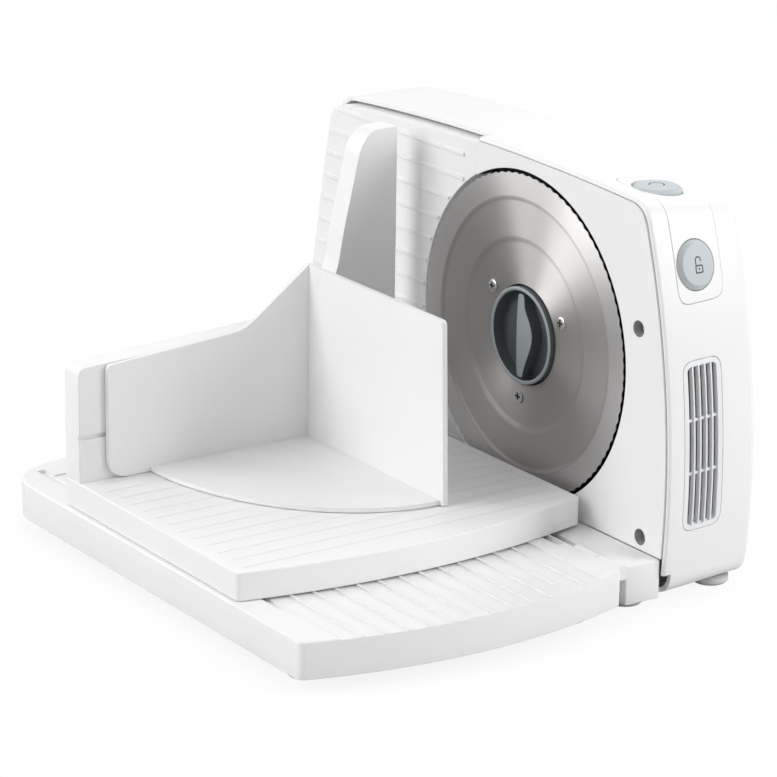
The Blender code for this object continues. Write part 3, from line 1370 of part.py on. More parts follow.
def bracket_outline():
    corners = [(BRACKET_LEFT, BRACKET_TOP, BRACKET_CORNER_R, 0),
               (BRACKET_RIGHT, BRACKET_TOP, BRACKET_CORNER_R, 0),
               (BRACKET_RIGHT, BRACKET_WAIST, BRACKET_CORNER_R, 0),
               (BRACKET_WAIST_X, BRACKET_WAIST, 0, 0),
               (BRACKET_FOOT_X, BRACKET_BOTTOM, BRACKET_CORNER_R, 0),
               (BRACKET_LEFT, BRACKET_BOTTOM, BRACKET_CORNER_R, 0)]
    return rounded_outline(corners)


def build_gear_bracket():
    """Plate on posts behind the gears; it carries both fixed axles."""
    back = BRACKET_FRONT + BRACKET_THICK
    bracket = prism("gear_bracket", 'Y', BRACKET_FRONT, back, bracket_outline())
    inset = BRACKET_POST_INSET
    posts = ((BRACKET_LEFT + inset, BRACKET_TOP - inset), (BRACKET_RIGHT - inset, BRACKET_TOP - inset),
             (BRACKET_FOOT_X - inset, BRACKET_BOTTOM + inset),
             (BRACKET_LEFT + inset, BRACKET_BOTTOM + inset))
    join(bracket, rods("bracket_posts", 'Y', RECESS_DEPTH + RECESS_FLOOR + GAP, back - GAP, posts,
                       BRACKET_POST_R))
    boss_front = BRACKET_FRONT - BRACKET_BOSS
    join(bracket, rod("blade_axle_boss", 'Y', boss_front, back - GAP, (0, 0), AXLE_R + WHEEL_WALL, ROUND))
    join(bracket, rod("gear_axle_boss", 'Y', WORM_WHEEL_FRONT + WORM_WHEEL_WIDTH + SLIDE_GAP,
                      back - GAP, pinion_place(), PINION_AXLE_R + WHEEL_WALL, ROUND))
    cut(bracket, rod("blade_axle_seat", 'Y', 0, WIDE, (0, 0), AXLE_R + PRESS_GAP, ROUND))
    cut(bracket, rod("gear_axle_seat", 'Y', 0, WIDE, pinion_place(), PINION_AXLE_R + PRESS_GAP, ROUND))
    return finish_part(bracket, MOTOR_GREY, 0.4, 1.0)


def worm_lead():
    return math.pi * WORM_WHEEL_MODULE


def build_reduction_gear():
    """Worm wheel and pinion on one sleeve; the worm wheel's teeth lean with the worm's thread."""
    centre = pinion_place()
    lean = worm_lead() / (2 * math.pi * WORM_R)
    pitch_r = WORM_WHEEL_TEETH * WORM_WHEEL_MODULE / 2
    middle = WORM_WHEEL_FRONT + WORM_WHEEL_WIDTH / 2
    rings = []
    layers = 2
    for layer in range(layers + 1):
        y = WORM_WHEEL_FRONT + WORM_WHEEL_WIDTH * layer / layers
        twist = -lean * (y - middle) / pitch_r
        outline = gear_outline(WORM_WHEEL_TEETH, WORM_WHEEL_MODULE, centre, twist)
        rings.append([(x, y, z) for x, z in outline])
    gear = loft("reduction_gear", rings)
    phase = TRAIN_ANGLE + math.pi + math.pi / PINION_TEETH
    teeth_back = WHEEL_TEETH_FRONT + WHEEL_TEETH_WIDTH
    join(gear, prism("pinion", 'Y', WHEEL_TEETH_FRONT, teeth_back + OVERRUN,
                     gear_outline(PINION_TEETH, GEAR_MODULE, centre, phase)))
    join(gear, rod("gear_sleeve", 'Y', teeth_back, WORM_WHEEL_FRONT + OVERRUN, centre,
                   PINION_AXLE_R + WHEEL_WALL))
    cut(gear, rod("gear_bore", 'Y', 0, WIDE, centre, PINION_AXLE_R + RUN_GAP, ROUND))
    place_origin(gear, (centre[0], 0, centre[1]))
    return finish_part(gear, GEAR_WHITE, 0.5)


def build_motor():
    x, y = motor_place()
    bottom = -MOTOR_LENGTH
    bore_r = ROTOR_SHAFT_R + RUN_GAP
    inner_r = MOTOR_R - MOTOR_WALL
    profile = [(bore_r, MOTOR_NECK_LENGTH), (MOTOR_NECK_R, MOTOR_NECK_LENGTH), (MOTOR_NECK_R, 0),
               (MOTOR_R - MOTOR_WALL, 0), (MOTOR_R, -MOTOR_WALL), (MOTOR_R, bottom + MOTOR_WALL),
               (inner_r, bottom), (bore_r, bottom), (bore_r, bottom + MOTOR_WALL),
               (inner_r, bottom + MOTOR_WALL), (inner_r, -MOTOR_WALL), (bore_r, -MOTOR_WALL)]
    motor = turned("motor_can", (x, y, MOTOR_TOP), profile, ROUND, (0, 0, 1))
    slots = []
    for place_share in MOTOR_SLOT_PLACE_SHARES:
        z = MOTOR_TOP - MOTOR_LENGTH * place_share
        slots.append(((x - WORM_R, y - MOTOR_R * 2, z - MOTOR_SLOT),
                      (x + WORM_R, y + MOTOR_R * 2, z + MOTOR_SLOT)))
    cut(motor, boxes("motor_slots", slots))
    finish_part(motor, MOTOR_GREY, 0.35, 1.0)
    return build_rotor(x, y)


def build_rotor(x, y):
    """Armature, shaft and the worm on the shaft's top end, as one turning piece."""
    core_length = MOTOR_LENGTH * ROTOR_CORE_SHARE
    core_top = -(MOTOR_LENGTH - core_length) / 2
    worm_centre = pinion_place()[1]
    worm_low = worm_centre - WORM_LENGTH / 2 - MOTOR_TOP
    profile = [(0, worm_low + GAP), (ROTOR_SHAFT_R, worm_low + GAP), (ROTOR_SHAFT_R, core_top),
               (ROTOR_CORE_R, core_top), (ROTOR_CORE_R, core_top - core_length),
               (ROTOR_SHAFT_R, core_top - core_length), (ROTOR_SHAFT_R, -MOTOR_LENGTH - ROTOR_TAIL),
               (0, -MOTOR_LENGTH - ROTOR_TAIL)]
    rotor = turned("motor_rotor", (x, y, MOTOR_TOP), profile, SMALL_ROUND, (0, 0, 1))
    join(rotor, worm(x, y, worm_centre))
    return finish_part(rotor, COPPER, 0.4, 1.0)


def worm(x, y, centre_z, sides=14, steps_per_turn=9):
    """A right-handed single thread, drawn ring by ring up the shaft."""
    lead = worm_lead()
    steps = math.ceil(WORM_LENGTH / lead * steps_per_turn)
    rings = []
    for step in range(steps + 1):
        z = centre_z - WORM_LENGTH / 2 + WORM_LENGTH * step / steps
        turn = 2 * math.pi * (z - centre_z) / lead
        ring = []
        for side in range(sides):
            angle = 2 * math.pi * side / sides
            wave = math.cos(angle - turn)
            lift = max(-1, min(1, WORM_FLANK_SHARE * wave))
            radius = WORM_R + WORM_WHEEL_MODULE * (TOOTH_TIP_SHARE * lift if lift > 0 else lift)
            ring.append((x + radius * math.cos(angle), y + radius * math.sin(angle), z))
        rings.append(ring)
    return loft("worm", rings)


def pillow(name, outline, low, high, edge_r, steps=2):
    """A flat body with the outline's sides and a softly rounded top edge."""
    rings = [[(x, y, low) for x, y in outline]]
    for step in range(steps + 1):
        angle = math.pi / 2 * step / steps
        ring = narrowed(outline, edge_r * (1 - math.cos(angle)))
        rings.append([(x, y, high - edge_r * (1 - math.sin(angle))) for x, y in ring])
    return loft(name, rings)


def hinge_spans(name):
    """Ends along X of the table's and the plinth's knuckles for one of the two hinges."""
    if name == "near":
        start = PLINTH_RIGHT - GAP - KNUCKLE_LENGTH
        return (start - GAP - KNUCKLE_LENGTH, start - GAP), (start, start + KNUCKLE_LENGTH)
    start = TABLE_FAR_X + KNUCKLE_INSET
    return (start, start + KNUCKLE_LENGTH), (start + KNUCKLE_LENGTH + GAP,
                                             start + 2 * KNUCKLE_LENGTH + GAP)


def add_knuckles(part, label, spans, web_end):
    """Knuckles round the hinge axis, each with a web to its owner."""
    for number, (start, end) in enumerate(spans):
        join(part, rod(label + "_knuckle_" + str(number), 'X', start, end, (HINGE_Y, HINGE_Z),
                       KNUCKLE_R))
        low_y, high_y = sorted((HINGE_Y, web_end))
        join(part, box(label + "_web_" + str(number), (start, low_y, HINGE_Z - KNUCKLE_R),
                       (end, high_y, HINGE_Z)))
    return part


def build_plinth():
    plinth = box("plinth", (PLINTH_LEFT, PLINTH_FRONT, BOTTOM_Z),
                 (PLINTH_RIGHT, PLINTH_BACK, PLINTH_TOP))
    round_edges(plinth, PLINTH_EDGE_R)
    cut(plinth, box("plinth_hollow", (PLINTH_LEFT + PLINTH_WALL, PLINTH_FRONT + PLINTH_WALL,
                                      BOTTOM_Z + PLINTH_WALL),
                    (PLINTH_RIGHT - PLINTH_WALL, PLINTH_BACK + OVERRUN, PLINTH_TOP - PLINTH_WALL)))
    reliefs = [hinge_spans(name)[0] for name in ("near", "far")]
    for number, (start, end) in enumerate(reliefs):
        cut(plinth, rod("plinth_relief_" + str(number), 'X', start - GAP, end + GAP,
                        (HINGE_Y, HINGE_Z), KNUCKLE_RELIEF_R))
    add_knuckles(plinth, "plinth", [hinge_spans(name)[1] for name in ("near", "far")],
                 PLINTH_FRONT + PLINTH_WALL / 2)
    half = GLIDE_LENGTH / 2 + SLIDE_GAP
    cut(plinth, box("glide_slot", (GLIDE_X - half - CARRIAGE_BACK_TRAVEL, GLIDE_Y - SLOT_WIDTH / 2,
                                   PLINTH_TOP - 2 * PLINTH_WALL),
                    (GLIDE_X + half + CARRIAGE_FORE_TRAVEL, GLIDE_Y + SLOT_WIDTH / 2,
                     PLINTH_TOP + OVERRUN)))
    for number, x in enumerate(TONGUE_PLACES):
        bottom = BOTTOM_Z - GAP - TONGUE_THICK
        join(plinth, box("tab_root_" + str(number), (x - TONGUE_WIDTH / 2, PLINTH_FRONT / 2, bottom),
                         (x + TONGUE_WIDTH / 2, PLINTH_BACK, BOTTOM_Z + GAP)))
        join(plinth, box("tab_" + str(number), (x - TONGUE_WIDTH / 2, PLINTH_FRONT / 2 + GAP, bottom),
                         (x + TONGUE_WIDTH / 2, TONGUE_END, BOTTOM_Z - GAP)))
    holes = [(x, TONGUE_HOLE_Y) for x in TONGUE_PLACES]
    cut(plinth, rods("tab_bores", 'Z', -WIDE, BOTTOM_Z, holes, PLINTH_SCREW_SHANK_R + GAP, TINY_ROUND))
    cut(plinth, rods("tab_head_seats", 'Z', -WIDE, BOTTOM_Z - TONGUE_THICK + PLINTH_SCREW_HEAD_THICK
                     - GAP, holes, PLINTH_SCREW_HEAD_R + GAP))
    cut(plinth, rods("front_foot_holes", 'Z', BOTTOM_Z - OVERRUN, BOTTOM_Z + 2 * PLINTH_WALL,
                     ((RIGHT_FOOT_X, FRONT_FOOT_Y), (LEFT_FOOT_X, FRONT_FOOT_Y)),
                     FOOT_STUD_R + GAP, TINY_ROUND))
    cut(plinth, rod("plinth_pin_bore", 'X', -WIDE, PLINTH_RIGHT - 2 * HINGE_PIN_END,
                    (HINGE_Y, HINGE_Z), HINGE_PIN_R + RUN_GAP))
    return finish_part(plinth, WHITE, 0.42)


def build_plinth_screws():
    top = BOTTOM_Z - GAP - TONGUE_THICK + PLINTH_SCREW_HEAD_THICK - GAP
    for number, x in enumerate(TONGUE_PLACES, 1):
        profile = [(0, PLINTH_SCREW_LENGTH), (PLINTH_SCREW_SHANK_R, PLINTH_SCREW_LENGTH),
                   (PLINTH_SCREW_SHANK_R, 0), (PLINTH_SCREW_HEAD_R, 0),
                   (PLINTH_SCREW_HEAD_R, -PLINTH_SCREW_HEAD_THICK), (0, -PLINTH_SCREW_HEAD_THICK)]
        screw = turned("plinth_screw_" + str(number), (x, TONGUE_HOLE_Y, top), profile, TINY_ROUND,
                       (0, 0, 1))
        finish_part(screw, BRIGHT_STEEL, 0.3, 1.0)


def build_feet():
    places = (("front_right", RIGHT_FOOT_X, FRONT_FOOT_Y), ("front_left", LEFT_FOOT_X, FRONT_FOOT_Y),
              ("back_right", RIGHT_FOOT_X, BACK_FOOT_Y), ("back_left", LEFT_FOOT_X, BACK_FOOT_Y))
    height = BOTTOM_Z - FLOOR_Z
    for name, x, y in places:
        profile = [(0, FOOT_STUD_LENGTH), (FOOT_STUD_R, FOOT_STUD_LENGTH), (FOOT_STUD_R, -GAP),
                   (FOOT_R, -GAP), (FOOT_R, FOOT_CHAMFER - height),
                   (FOOT_R - FOOT_CHAMFER, -height), (0, -height)]
        foot = turned("foot_" + name, (x, y, BOTTOM_Z), profile, SMALL_ROUND, (0, 0, 1))
        finish_part(foot, RUBBER_GREY, 0.7)


def table_outline():
    corners = [(TABLE_FAR_X, TABLE_BACK, TABLE_CORNER_R, 0),
               (TABLE_NEAR_HINGE_X, TABLE_BACK, TABLE_CORNER_R, TABLE_NEAR_SAG),
               (TABLE_NEAR_X, TABLE_FRONT, TABLE_CORNER_R, 0),
               (TABLE_FAR_X, TABLE_FRONT, TABLE_FAR_R, TABLE_FAR_SAG)]
    return rounded_outline(corners, side_steps=9, corner_steps=4)


def cross_ribs():
    """Stiffening ribs across the table's hollow underside."""
    ribs = box("table_ribs", (TABLE_RIB_FIRST_X, TABLE_FRONT + TABLE_WALL / 2,
                              TABLE_UNDER + RIB_THICK),
               (TABLE_RIB_FIRST_X + RIB_THICK, TABLE_BACK - TABLE_WALL / 2,
                TABLE_TOP - TABLE_WALL / 2))
    row = ribs.modifiers.new("row", 'ARRAY')
    row.count = TABLE_CROSS_RIBS
    row.use_relative_offset = False
    row.use_constant_offset = True
    row.constant_offset_displace = (TABLE_CROSS_RIB_PITCH, 0, 0)
    return ribs


def table_leg_places():
    return ((NEAR_FRONT_FOOT_X, TABLE_FRONT + NEAR_FRONT_FOOT_INSET),
            (FAR_FRONT_FOOT_X, TABLE_FRONT + FAR_FRONT_FOOT_INSET),
            (NEAR_BACK_FOOT_X, TABLE_BACK - BACK_FOOT_INSET),
            (FAR_BACK_FOOT_X, TABLE_BACK - BACK_FOOT_INSET))


def build_table():
    table = pillow("fold_table", table_outline(), TABLE_UNDER, TABLE_TOP, TABLE_EDGE_R)
    cut(table, prism("table_hollow", 'Z', TABLE_UNDER - OVERRUN, TABLE_TOP - TABLE_WALL,
                     offset(table_outline(), TABLE_WALL)))
    width = TABLE_RIB_PITCH - TABLE_RIB_WIDTH
    panel_front = TABLE_FRONT + TABLE_PANEL_MARGIN
    rows = int((TABLE_PANEL_BACK - panel_front) / TABLE_RIB_PITCH)
    join(table, cross_ribs())
    join(table, rods("table_legs", 'Z', FLOOR_Z, TABLE_TOP - TABLE_WALL / 2, table_leg_places(),
                     TABLE_FOOT_R))
    cut(table, boxes("table_furrows",
                     [((TABLE_PANEL_FAR, panel_front + TABLE_RIB_PITCH * row,
                        TABLE_TOP - TABLE_RIB_HEIGHT),
                       (WIDE, panel_front + TABLE_RIB_PITCH * row + width, TABLE_TOP + OVERRUN))
                      for row in range(rows)]))
    cut(table, boxes("table_grooves", [((GROOVE_FAR, y - GROOVE_WIDTH / 2, TABLE_TOP - GROOVE_DEPTH),
                                        (GROOVE_NEAR, y + GROOVE_WIDTH / 2, TABLE_TOP + OVERRUN))
                                       for y in (FRONT_GROOVE_Y, BACK_GROOVE_Y)]))
    reliefs = [hinge_spans(name)[1] for name in ("near", "far")]
    for number, (start, end) in enumerate(reliefs):
        cut(table, rod("table_relief_" + str(number), 'X', start - GAP, end + GAP, (HINGE_Y, HINGE_Z),
                       KNUCKLE_RELIEF_R))
    drop = TABLE_TOP - HINGE_Z
    fold_edge = [(HINGE_Y, HINGE_Z - GAP), (HINGE_Y - drop - GAP, TABLE_TOP + GAP),
                 (HINGE_Y, TABLE_TOP + GAP)]
    cut(table, prism("fold_clearance", 'X', -WIDE, WIDE, fold_edge[::-1]))
    add_knuckles(table, "table", [hinge_spans(name)[0] for name in ("near", "far")],
                 TABLE_BACK - TABLE_WALL / 2)
    cut(table, rod("table_pin_bore", 'X', -WIDE, WIDE, (HINGE_Y, HINGE_Z), HINGE_PIN_R + RUN_GAP))
    place_origin(table, (0, HINGE_Y, HINGE_Z))
    return finish_part(table, WHITE, 0.42)


def build_hinge_pins():
    for name in ("near", "far"):
        table_span, plinth_span = hinge_spans(name)
        start = min(table_span[0], plinth_span[0]) + HINGE_PIN_END
        end = max(table_span[1], plinth_span[1]) - 2 * HINGE_PIN_END - GAP
        pin = rod("hinge_pin_" + name, 'X', start, end, (HINGE_Y, HINGE_Z), HINGE_PIN_R)
        finish_part(pin, BRIGHT_STEEL, 0.25, 1.0)


def carriage_outline():
    corners = [(CARRIAGE_FAR_X, CARRIAGE_BACK, CARRIAGE_CORNER_R, 0),
               (CARRIAGE_NEAR_X, CARRIAGE_BACK, CARRIAGE_CORNER_R, CARRIAGE_SAG),
               (CARRIAGE_NEAR_X, CARRIAGE_FRONT, CARRIAGE_CORNER_R, 0),
               (CARRIAGE_FAR_X, CARRIAGE_FRONT, CARRIAGE_CORNER_R, 0)]
    return rounded_outline(corners, side_steps=8, corner_steps=2)


def carriage_wall_outline():
    foot = CARRIAGE_UNDER + CARRIAGE_WALL
    corners = [(CARRIAGE_FRONT + GAP, foot, 0, 0),
               (CARRIAGE_FRONT + GAP, WALL_FRONT_TOP, WALL_FRONT_R, 0),
               (FIN_FOOT_Y, WALL_BACK_TOP, FIN_FOOT_R, 0),
               (FIN_LOW_Y, FIN_LOW_Z, FIN_LOW_R, 0),
               (FIN_MID_Y, FIN_MID_Z, FIN_LOW_R, 0),
               (FIN_HIGH_Y, FIN_HIGH_Z, FIN_HIGH_R, 0),
               (FIN_TOP_Y, FIN_TOP_Z, FIN_TOP_R, 0),
               (FIN_BACK_Y, FIN_BACK_Z, 0, 0),
               (FIN_BACK_Y, foot, 0, 0)]
    return rounded_outline(corners)


def build_carriage():
    carriage = pillow("carriage", carriage_outline(), CARRIAGE_UNDER, CARRIAGE_TOP, CARRIAGE_EDGE_R)
    cut(carriage, prism("carriage_hollow", 'Z', CARRIAGE_UNDER - OVERRUN,
                        CARRIAGE_TOP - CARRIAGE_WALL, offset(carriage_outline(), CARRIAGE_WALL)))
    inner = CARRIAGE_FAR_X + WALL_THICK
    wall = prism("carriage_wall", 'X', CARRIAGE_FAR_X + GAP, inner, carriage_wall_outline())
    join(carriage, wall)
    under_top = CARRIAGE_TOP - CARRIAGE_WALL / 2
    ribs = [((x, CARRIAGE_FRONT + CARRIAGE_WALL / 2, CARRIAGE_UNDER + RIB_THICK),
             (x + RIB_THICK, CARRIAGE_BACK - CARRIAGE_WALL / 2, under_top))
            for x in CARRIAGE_CROSS_RIBS]
    join(carriage, boxes("carriage_ribs", ribs))
    keels = [((KEEL_FAR, y - KEEL_WIDTH / 2, CARRIAGE_UNDER - KEEL_DEPTH),
              (KEEL_NEAR, y + KEEL_WIDTH / 2, under_top)) for y in (FRONT_GROOVE_Y, BACK_GROOVE_Y)]
    join(carriage, boxes("carriage_keels", keels))
    join(carriage, rods("peg_bosses", 'Z', CARRIAGE_UNDER, under_top, peg_places(),
                        GLIDE_PEG_R + SLIDE_GAP + PEG_BOSS_WALL))
    cut(carriage, prism("wall_pocket", 'X', CARRIAGE_FAR_X + CARRIAGE_WALL + GAP,
                        inner - CARRIAGE_WALL, offset(carriage_wall_outline(), CARRIAGE_WALL)))
    cut(carriage, box("wall_mouth", (CARRIAGE_FAR_X + CARRIAGE_WALL + 2 * GAP,
                                     CARRIAGE_FRONT + CARRIAGE_WALL + 2 * GAP,
                                     CARRIAGE_UNDER - OVERRUN),
                      (inner - CARRIAGE_WALL - GAP, FIN_BACK_Y - CARRIAGE_WALL - GAP,
                       CARRIAGE_UNDER + 3 * CARRIAGE_WALL)))
    cut(carriage, rods("peg_bores", 'Z', CARRIAGE_UNDER - OVERRUN,
                       CARRIAGE_UNDER + GLIDE_PEG_HEIGHT, peg_places(), GLIDE_PEG_R + SLIDE_GAP))
    cut(carriage, box("tongue_groove", (inner - GUIDE_SLOT_DEPTH, CARRIAGE_FRONT - OVERRUN,
                                        GUIDE_SLOT_Z - GUIDE_SLOT_HEIGHT / 2),
                      (inner + OVERRUN, FIN_BACK_Y + OVERRUN, GUIDE_SLOT_Z + GUIDE_SLOT_HEIGHT / 2)))
    furrows = []
    x = inner + CARRIAGE_RIB_MARGIN
    while x + CARRIAGE_RIB_WIDTH < CARRIAGE_NEAR_X:
        furrows.append(((x, CARRIAGE_FRONT + CARRIAGE_RIB_MARGIN, CARRIAGE_TOP - CARRIAGE_RIB_DEPTH),
                        (x + CARRIAGE_RIB_WIDTH, CARRIAGE_BACK - CARRIAGE_RIB_MARGIN,
                         CARRIAGE_TOP + OVERRUN)))
        x += CARRIAGE_RIB_PITCH
    cut(carriage, boxes("carriage_furrows", furrows))
    return finish_part(carriage, WHITE, 0.40)


def peg_places():
    return ((GLIDE_X - GLIDE_PEG_SPACING / 2, GLIDE_Y), (GLIDE_X + GLIDE_PEG_SPACING / 2, GLIDE_Y))


def build_glide():
    """The shoe in the plinth's slot that carries the carriage on two pegs."""
    half = GLIDE_LENGTH / 2
    under = PLINTH_TOP - PLINTH_WALL - GAP
    glide = box("carriage_glide", (GLIDE_X - half, GLIDE_Y - GLIDE_FLANGE_WIDTH / 2,
                                   under - GLIDE_FLANGE_THICK),
                (GLIDE_X + half, GLIDE_Y + GLIDE_FLANGE_WIDTH / 2, under))
    neck = SLOT_WIDTH / 2 - SLIDE_GAP
    join(glide, box("glide_neck", (GLIDE_X - half, GLIDE_Y - neck, under - GLIDE_FLANGE_THICK / 2),
                    (GLIDE_X + half, GLIDE_Y + neck, PLINTH_TOP + GLIDE_HEAD_THICK)))
    join(glide, rods("glide_pegs", 'Z', under - GLIDE_FLANGE_THICK / 2,
                     CARRIAGE_UNDER + GLIDE_PEG_HEIGHT - SLIDE_GAP, peg_places(), GLIDE_PEG_R))
    return finish_part(glide, GREY, 0.5)


def holder_end():
    return CARRIAGE_FRONT + HOLDER_END_INSET


def build_holder():
    back_x = CARRIAGE_FAR_X + WALL_THICK + GAP
    low = CARRIAGE_TOP + GAP
    rear = HOLDER_FACE_Y + HOLDER_WALL
    right = [(back_x, HOLDER_TOP_Z, 0, 0), (HOLDER_NEAR_TOP_X, HOLDER_TOP_Z, HOLDER_CORNER_R, 0),
             (HOLDER_NEAR_FOOT_X, low, 0, 0), (back_x, low, 0, 0)]
    holder = prism("food_holder", 'Y', HOLDER_FACE_Y, rear, rounded_outline(right))
    left = [(holder_end(), HOLDER_END_Z, HOLDER_CORNER_R, 0), (HOLDER_LOW_Y, HOLDER_LOW_Z, HOLDER_LOW_R, 0),
            (HOLDER_FACE_Y, HOLDER_TOP_Z, 0, 0), (rear, HOLDER_TOP_Z, 0, 0), (rear, low, 0, 0),
            (holder_end(), low, HOLDER_FOOT_R, 0)]
    join(holder, prism("holder_left_wall", 'X', back_x, back_x + HOLDER_WALL,
                       rounded_outline(left)))
    centre_y = HOLDER_FACE_Y + HOLDER_WALL / 2
    steps = 20
    floor = [(back_x + GAP, centre_y)]
    for step in range(steps + 1):
        angle = math.pi / 2 * step / steps
        floor.append((back_x + GAP + HOLDER_FLOOR_X_REACH * math.cos(angle),
                      centre_y - HOLDER_FLOOR_Y_REACH * math.sin(angle)))
    join(holder, prism("holder_floor", 'Z', low, low + HOLDER_FLOOR, floor))
    middle = (holder_end() + HOLDER_FACE_Y) / 2
    rise = GUIDE_SLOT_HEIGHT / 2 - SLIDE_GAP
    join(holder, box("holder_tongue", (back_x - GUIDE_SLOT_DEPTH + SLIDE_GAP,
                                       middle - TONGUE_LENGTH / 2, GUIDE_SLOT_Z - rise),
                     (back_x + HOLDER_WALL / 2, middle + TONGUE_LENGTH / 2, GUIDE_SLOT_Z + rise)))
    return finish_part(holder, WHITE, 0.40)


def build_gland():
    outside = GAP + GLAND_FLANGE_THICK
    inside = -SHELL_WALL * 2
    profile = [(GLAND_BORE_R, 2 * outside), (GLAND_R - GAP, 2 * outside), (GLAND_R, outside),
               (GLAND_FLANGE_R, outside), (GLAND_FLANGE_R, GAP), (GLAND_R, GAP), (GLAND_R, inside),
               (GLAND_BORE_R, inside)]
    gland = turned("cord_gland", (GLAND_X, SHELL_BACK, GLAND_Z), profile, SMALL_ROUND, (0, 1, 0))
    return finish_part(gland, RUBBER_GREY, 0.6)


def build_dial_ring():
    """Plain scale ring behind the dial knob, without figures."""
    profile = [(SPINDLE_R + SLIDE_GAP, DIAL_RING_THICK), (DIAL_RING_R, DIAL_RING_THICK),
               (DIAL_RING_R, 0), (SPINDLE_R + SLIDE_GAP, 0)]
    ring = turned("dial_ring", (DIAL_X, SHELL_BACK + GAP / 2, DIAL_Z), profile, ROUND, (0, 1, 0))
    return finish_part(ring, SOFT_WHITE, 0.5)


def stand_on_floor():
    """Puts the rest face at Z = 0 and the middle of the slicer's extents over the origin."""
    bpy.context.view_layer.update()
    graph = bpy.context.evaluated_depsgraph_get()
    corners = []
    for part in PARTS.objects:
        shape = part.evaluated_get(graph)
        corners += [shape.matrix_world @ Vector(corner) for corner in shape.bound_box]
    low = Vector(map(min, *corners))
    high = Vector(map(max, *corners))
    shift = Vector((-(low.x + high.x) / 2, -(low.y + high.y) / 2, -low.z))
    for item in list(PARTS.objects) + list(CUTTERS.objects):
        item.location += shift


build_rear_shell()
build_front_plate()
build_plate_screws()
build_switch_panel()
build_buttons()
build_vent_grille()
build_stop_plate()
build_dial()
build_dial_ring()
build_blade()
build_blade_wheel()
build_blade_screws()
build_lock_knob()
build_axles()
build_gear_bracket()
build_reduction_gear()
build_motor()
build_plinth()
build_plinth_screws()
build_feet()
build_table()
build_hinge_pins()
build_carriage()
build_glide()
build_holder()
build_gland()
stand_on_floor()
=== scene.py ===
"""Looks of the electric food slicer: finer forms over the fixed frame, materials, light, camera."""

import json
import math

import bmesh
import bpy
from mathutils import Matrix, Vector

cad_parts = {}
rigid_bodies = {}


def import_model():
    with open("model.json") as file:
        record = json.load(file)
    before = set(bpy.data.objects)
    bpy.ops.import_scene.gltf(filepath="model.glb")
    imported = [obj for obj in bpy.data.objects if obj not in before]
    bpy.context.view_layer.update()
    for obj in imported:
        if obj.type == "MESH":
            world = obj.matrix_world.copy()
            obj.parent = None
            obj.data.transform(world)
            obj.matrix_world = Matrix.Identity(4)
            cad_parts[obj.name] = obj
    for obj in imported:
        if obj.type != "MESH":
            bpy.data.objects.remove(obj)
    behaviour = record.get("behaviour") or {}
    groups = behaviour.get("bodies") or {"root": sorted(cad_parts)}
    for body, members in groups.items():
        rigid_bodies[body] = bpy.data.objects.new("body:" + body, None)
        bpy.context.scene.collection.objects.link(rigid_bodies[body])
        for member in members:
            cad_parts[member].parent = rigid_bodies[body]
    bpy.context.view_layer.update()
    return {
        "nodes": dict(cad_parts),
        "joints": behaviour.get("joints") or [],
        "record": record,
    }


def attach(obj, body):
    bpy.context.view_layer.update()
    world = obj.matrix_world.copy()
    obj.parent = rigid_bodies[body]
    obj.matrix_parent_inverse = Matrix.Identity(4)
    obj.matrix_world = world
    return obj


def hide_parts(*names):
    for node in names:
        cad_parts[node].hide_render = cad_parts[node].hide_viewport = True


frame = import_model()
NODES = frame["nodes"]
RECORD = frame["record"]
PLACE = Vector(next(j["pos_m"] for j in frame["joints"] if j["name"] == "blade_spin"))
SLOT_OF = {row["node"]: row["material_slot"] for row in RECORD["subparts"]}
BODY_OF = {node: body for body, nodes in RECORD["behaviour"]["bodies"].items() for node in nodes}

PARTS = bpy.data.collections.new("forms")
CUTTERS = bpy.data.collections.new("tools")
bpy.context.scene.collection.children.link(PARTS)
bpy.context.scene.collection.children.link(CUTTERS)


GAP = 0.0003
SLIDE_GAP = 0.0004
OVERRUN = 0.002
WELD = 0.00001
RUN_GAP = 0.00005
PRESS_GAP = 0.00002
WIDE = 0.4
BLADE_R = 0.085
BLADE_THICK = 0.0011
BLADE_EDGE_THICK = 0.0004
BLADE_BEVEL_WIDTH = 0.0138
BLADE_DISH = 0.0013
BLADE_SWELL_MARGIN = 0.0159
BLADE_SWELL_DEPTH = 0.0005
SCALLOPS = 90
SCALLOP_DEPTH = 0.0007
EDGE_POINTS = 12
KNOB_RIM_R = 0.0256
KNOB_CUP_WALL = 0.0020
KNOB_CUP_DEPTH = 0.0075
KNOB_FLOOR = 0.0018
KNOB_HUB_R = 0.0085
KNOB_LUG_LENGTH = 0.0030
KNOB_LUG_WIDTH = 0.0088
KNOB_RIM_PROUD = 0.0014
LUG_FRONT = 0.0125
AXLE_NOSE = 0.0020
BLADE_HOLE_GAP = 0.0010
VANE_LENGTH = 0.0445
VANE_WIDTH = 0.0130
VANE_TIP_WIDTH = 0.0066
VANE_BELOW_RIM = 0.0006
VANE_SWELL_START_SHARE = 0.14
VANE_SWELL_LEAN_SHARE = 0.75
VANE_END_SHARE = 0.35
WHEEL_WEB_FRONT = 0.0155
GEAR_MODULE = 0.0025
WHEEL_TEETH = 30
PINION_TEETH = 10
AXLE_R = 0.0050
TRAIN_ANGLE = math.radians(20)
WORM_WHEEL_TEETH = 20
WORM_WHEEL_MODULE = 0.0019
WORM_WHEEL_FRONT = 0.0310
WORM_WHEEL_WIDTH = 0.0080
WORM_R = 0.0050
BLADE_SCREW_CIRCLE_R = 0.0341
BLADE_SCREW_HEAD_R = 0.0033
BLADE_SCREW_HEAD_THICK = 0.0008
BLADE_SCREW_SHANK_R = 0.0014
BLADE_SCREW_LENGTH = 0.0040
SCREW_CROWN_SHARE = 0.80
CROSS_REACH_SHARE = 0.62
CROSS_WIDTH_SHARE = 0.16
BLADE_SCREW_ANGLES = (math.radians(24.5), math.radians(144.5), math.radians(264.5))
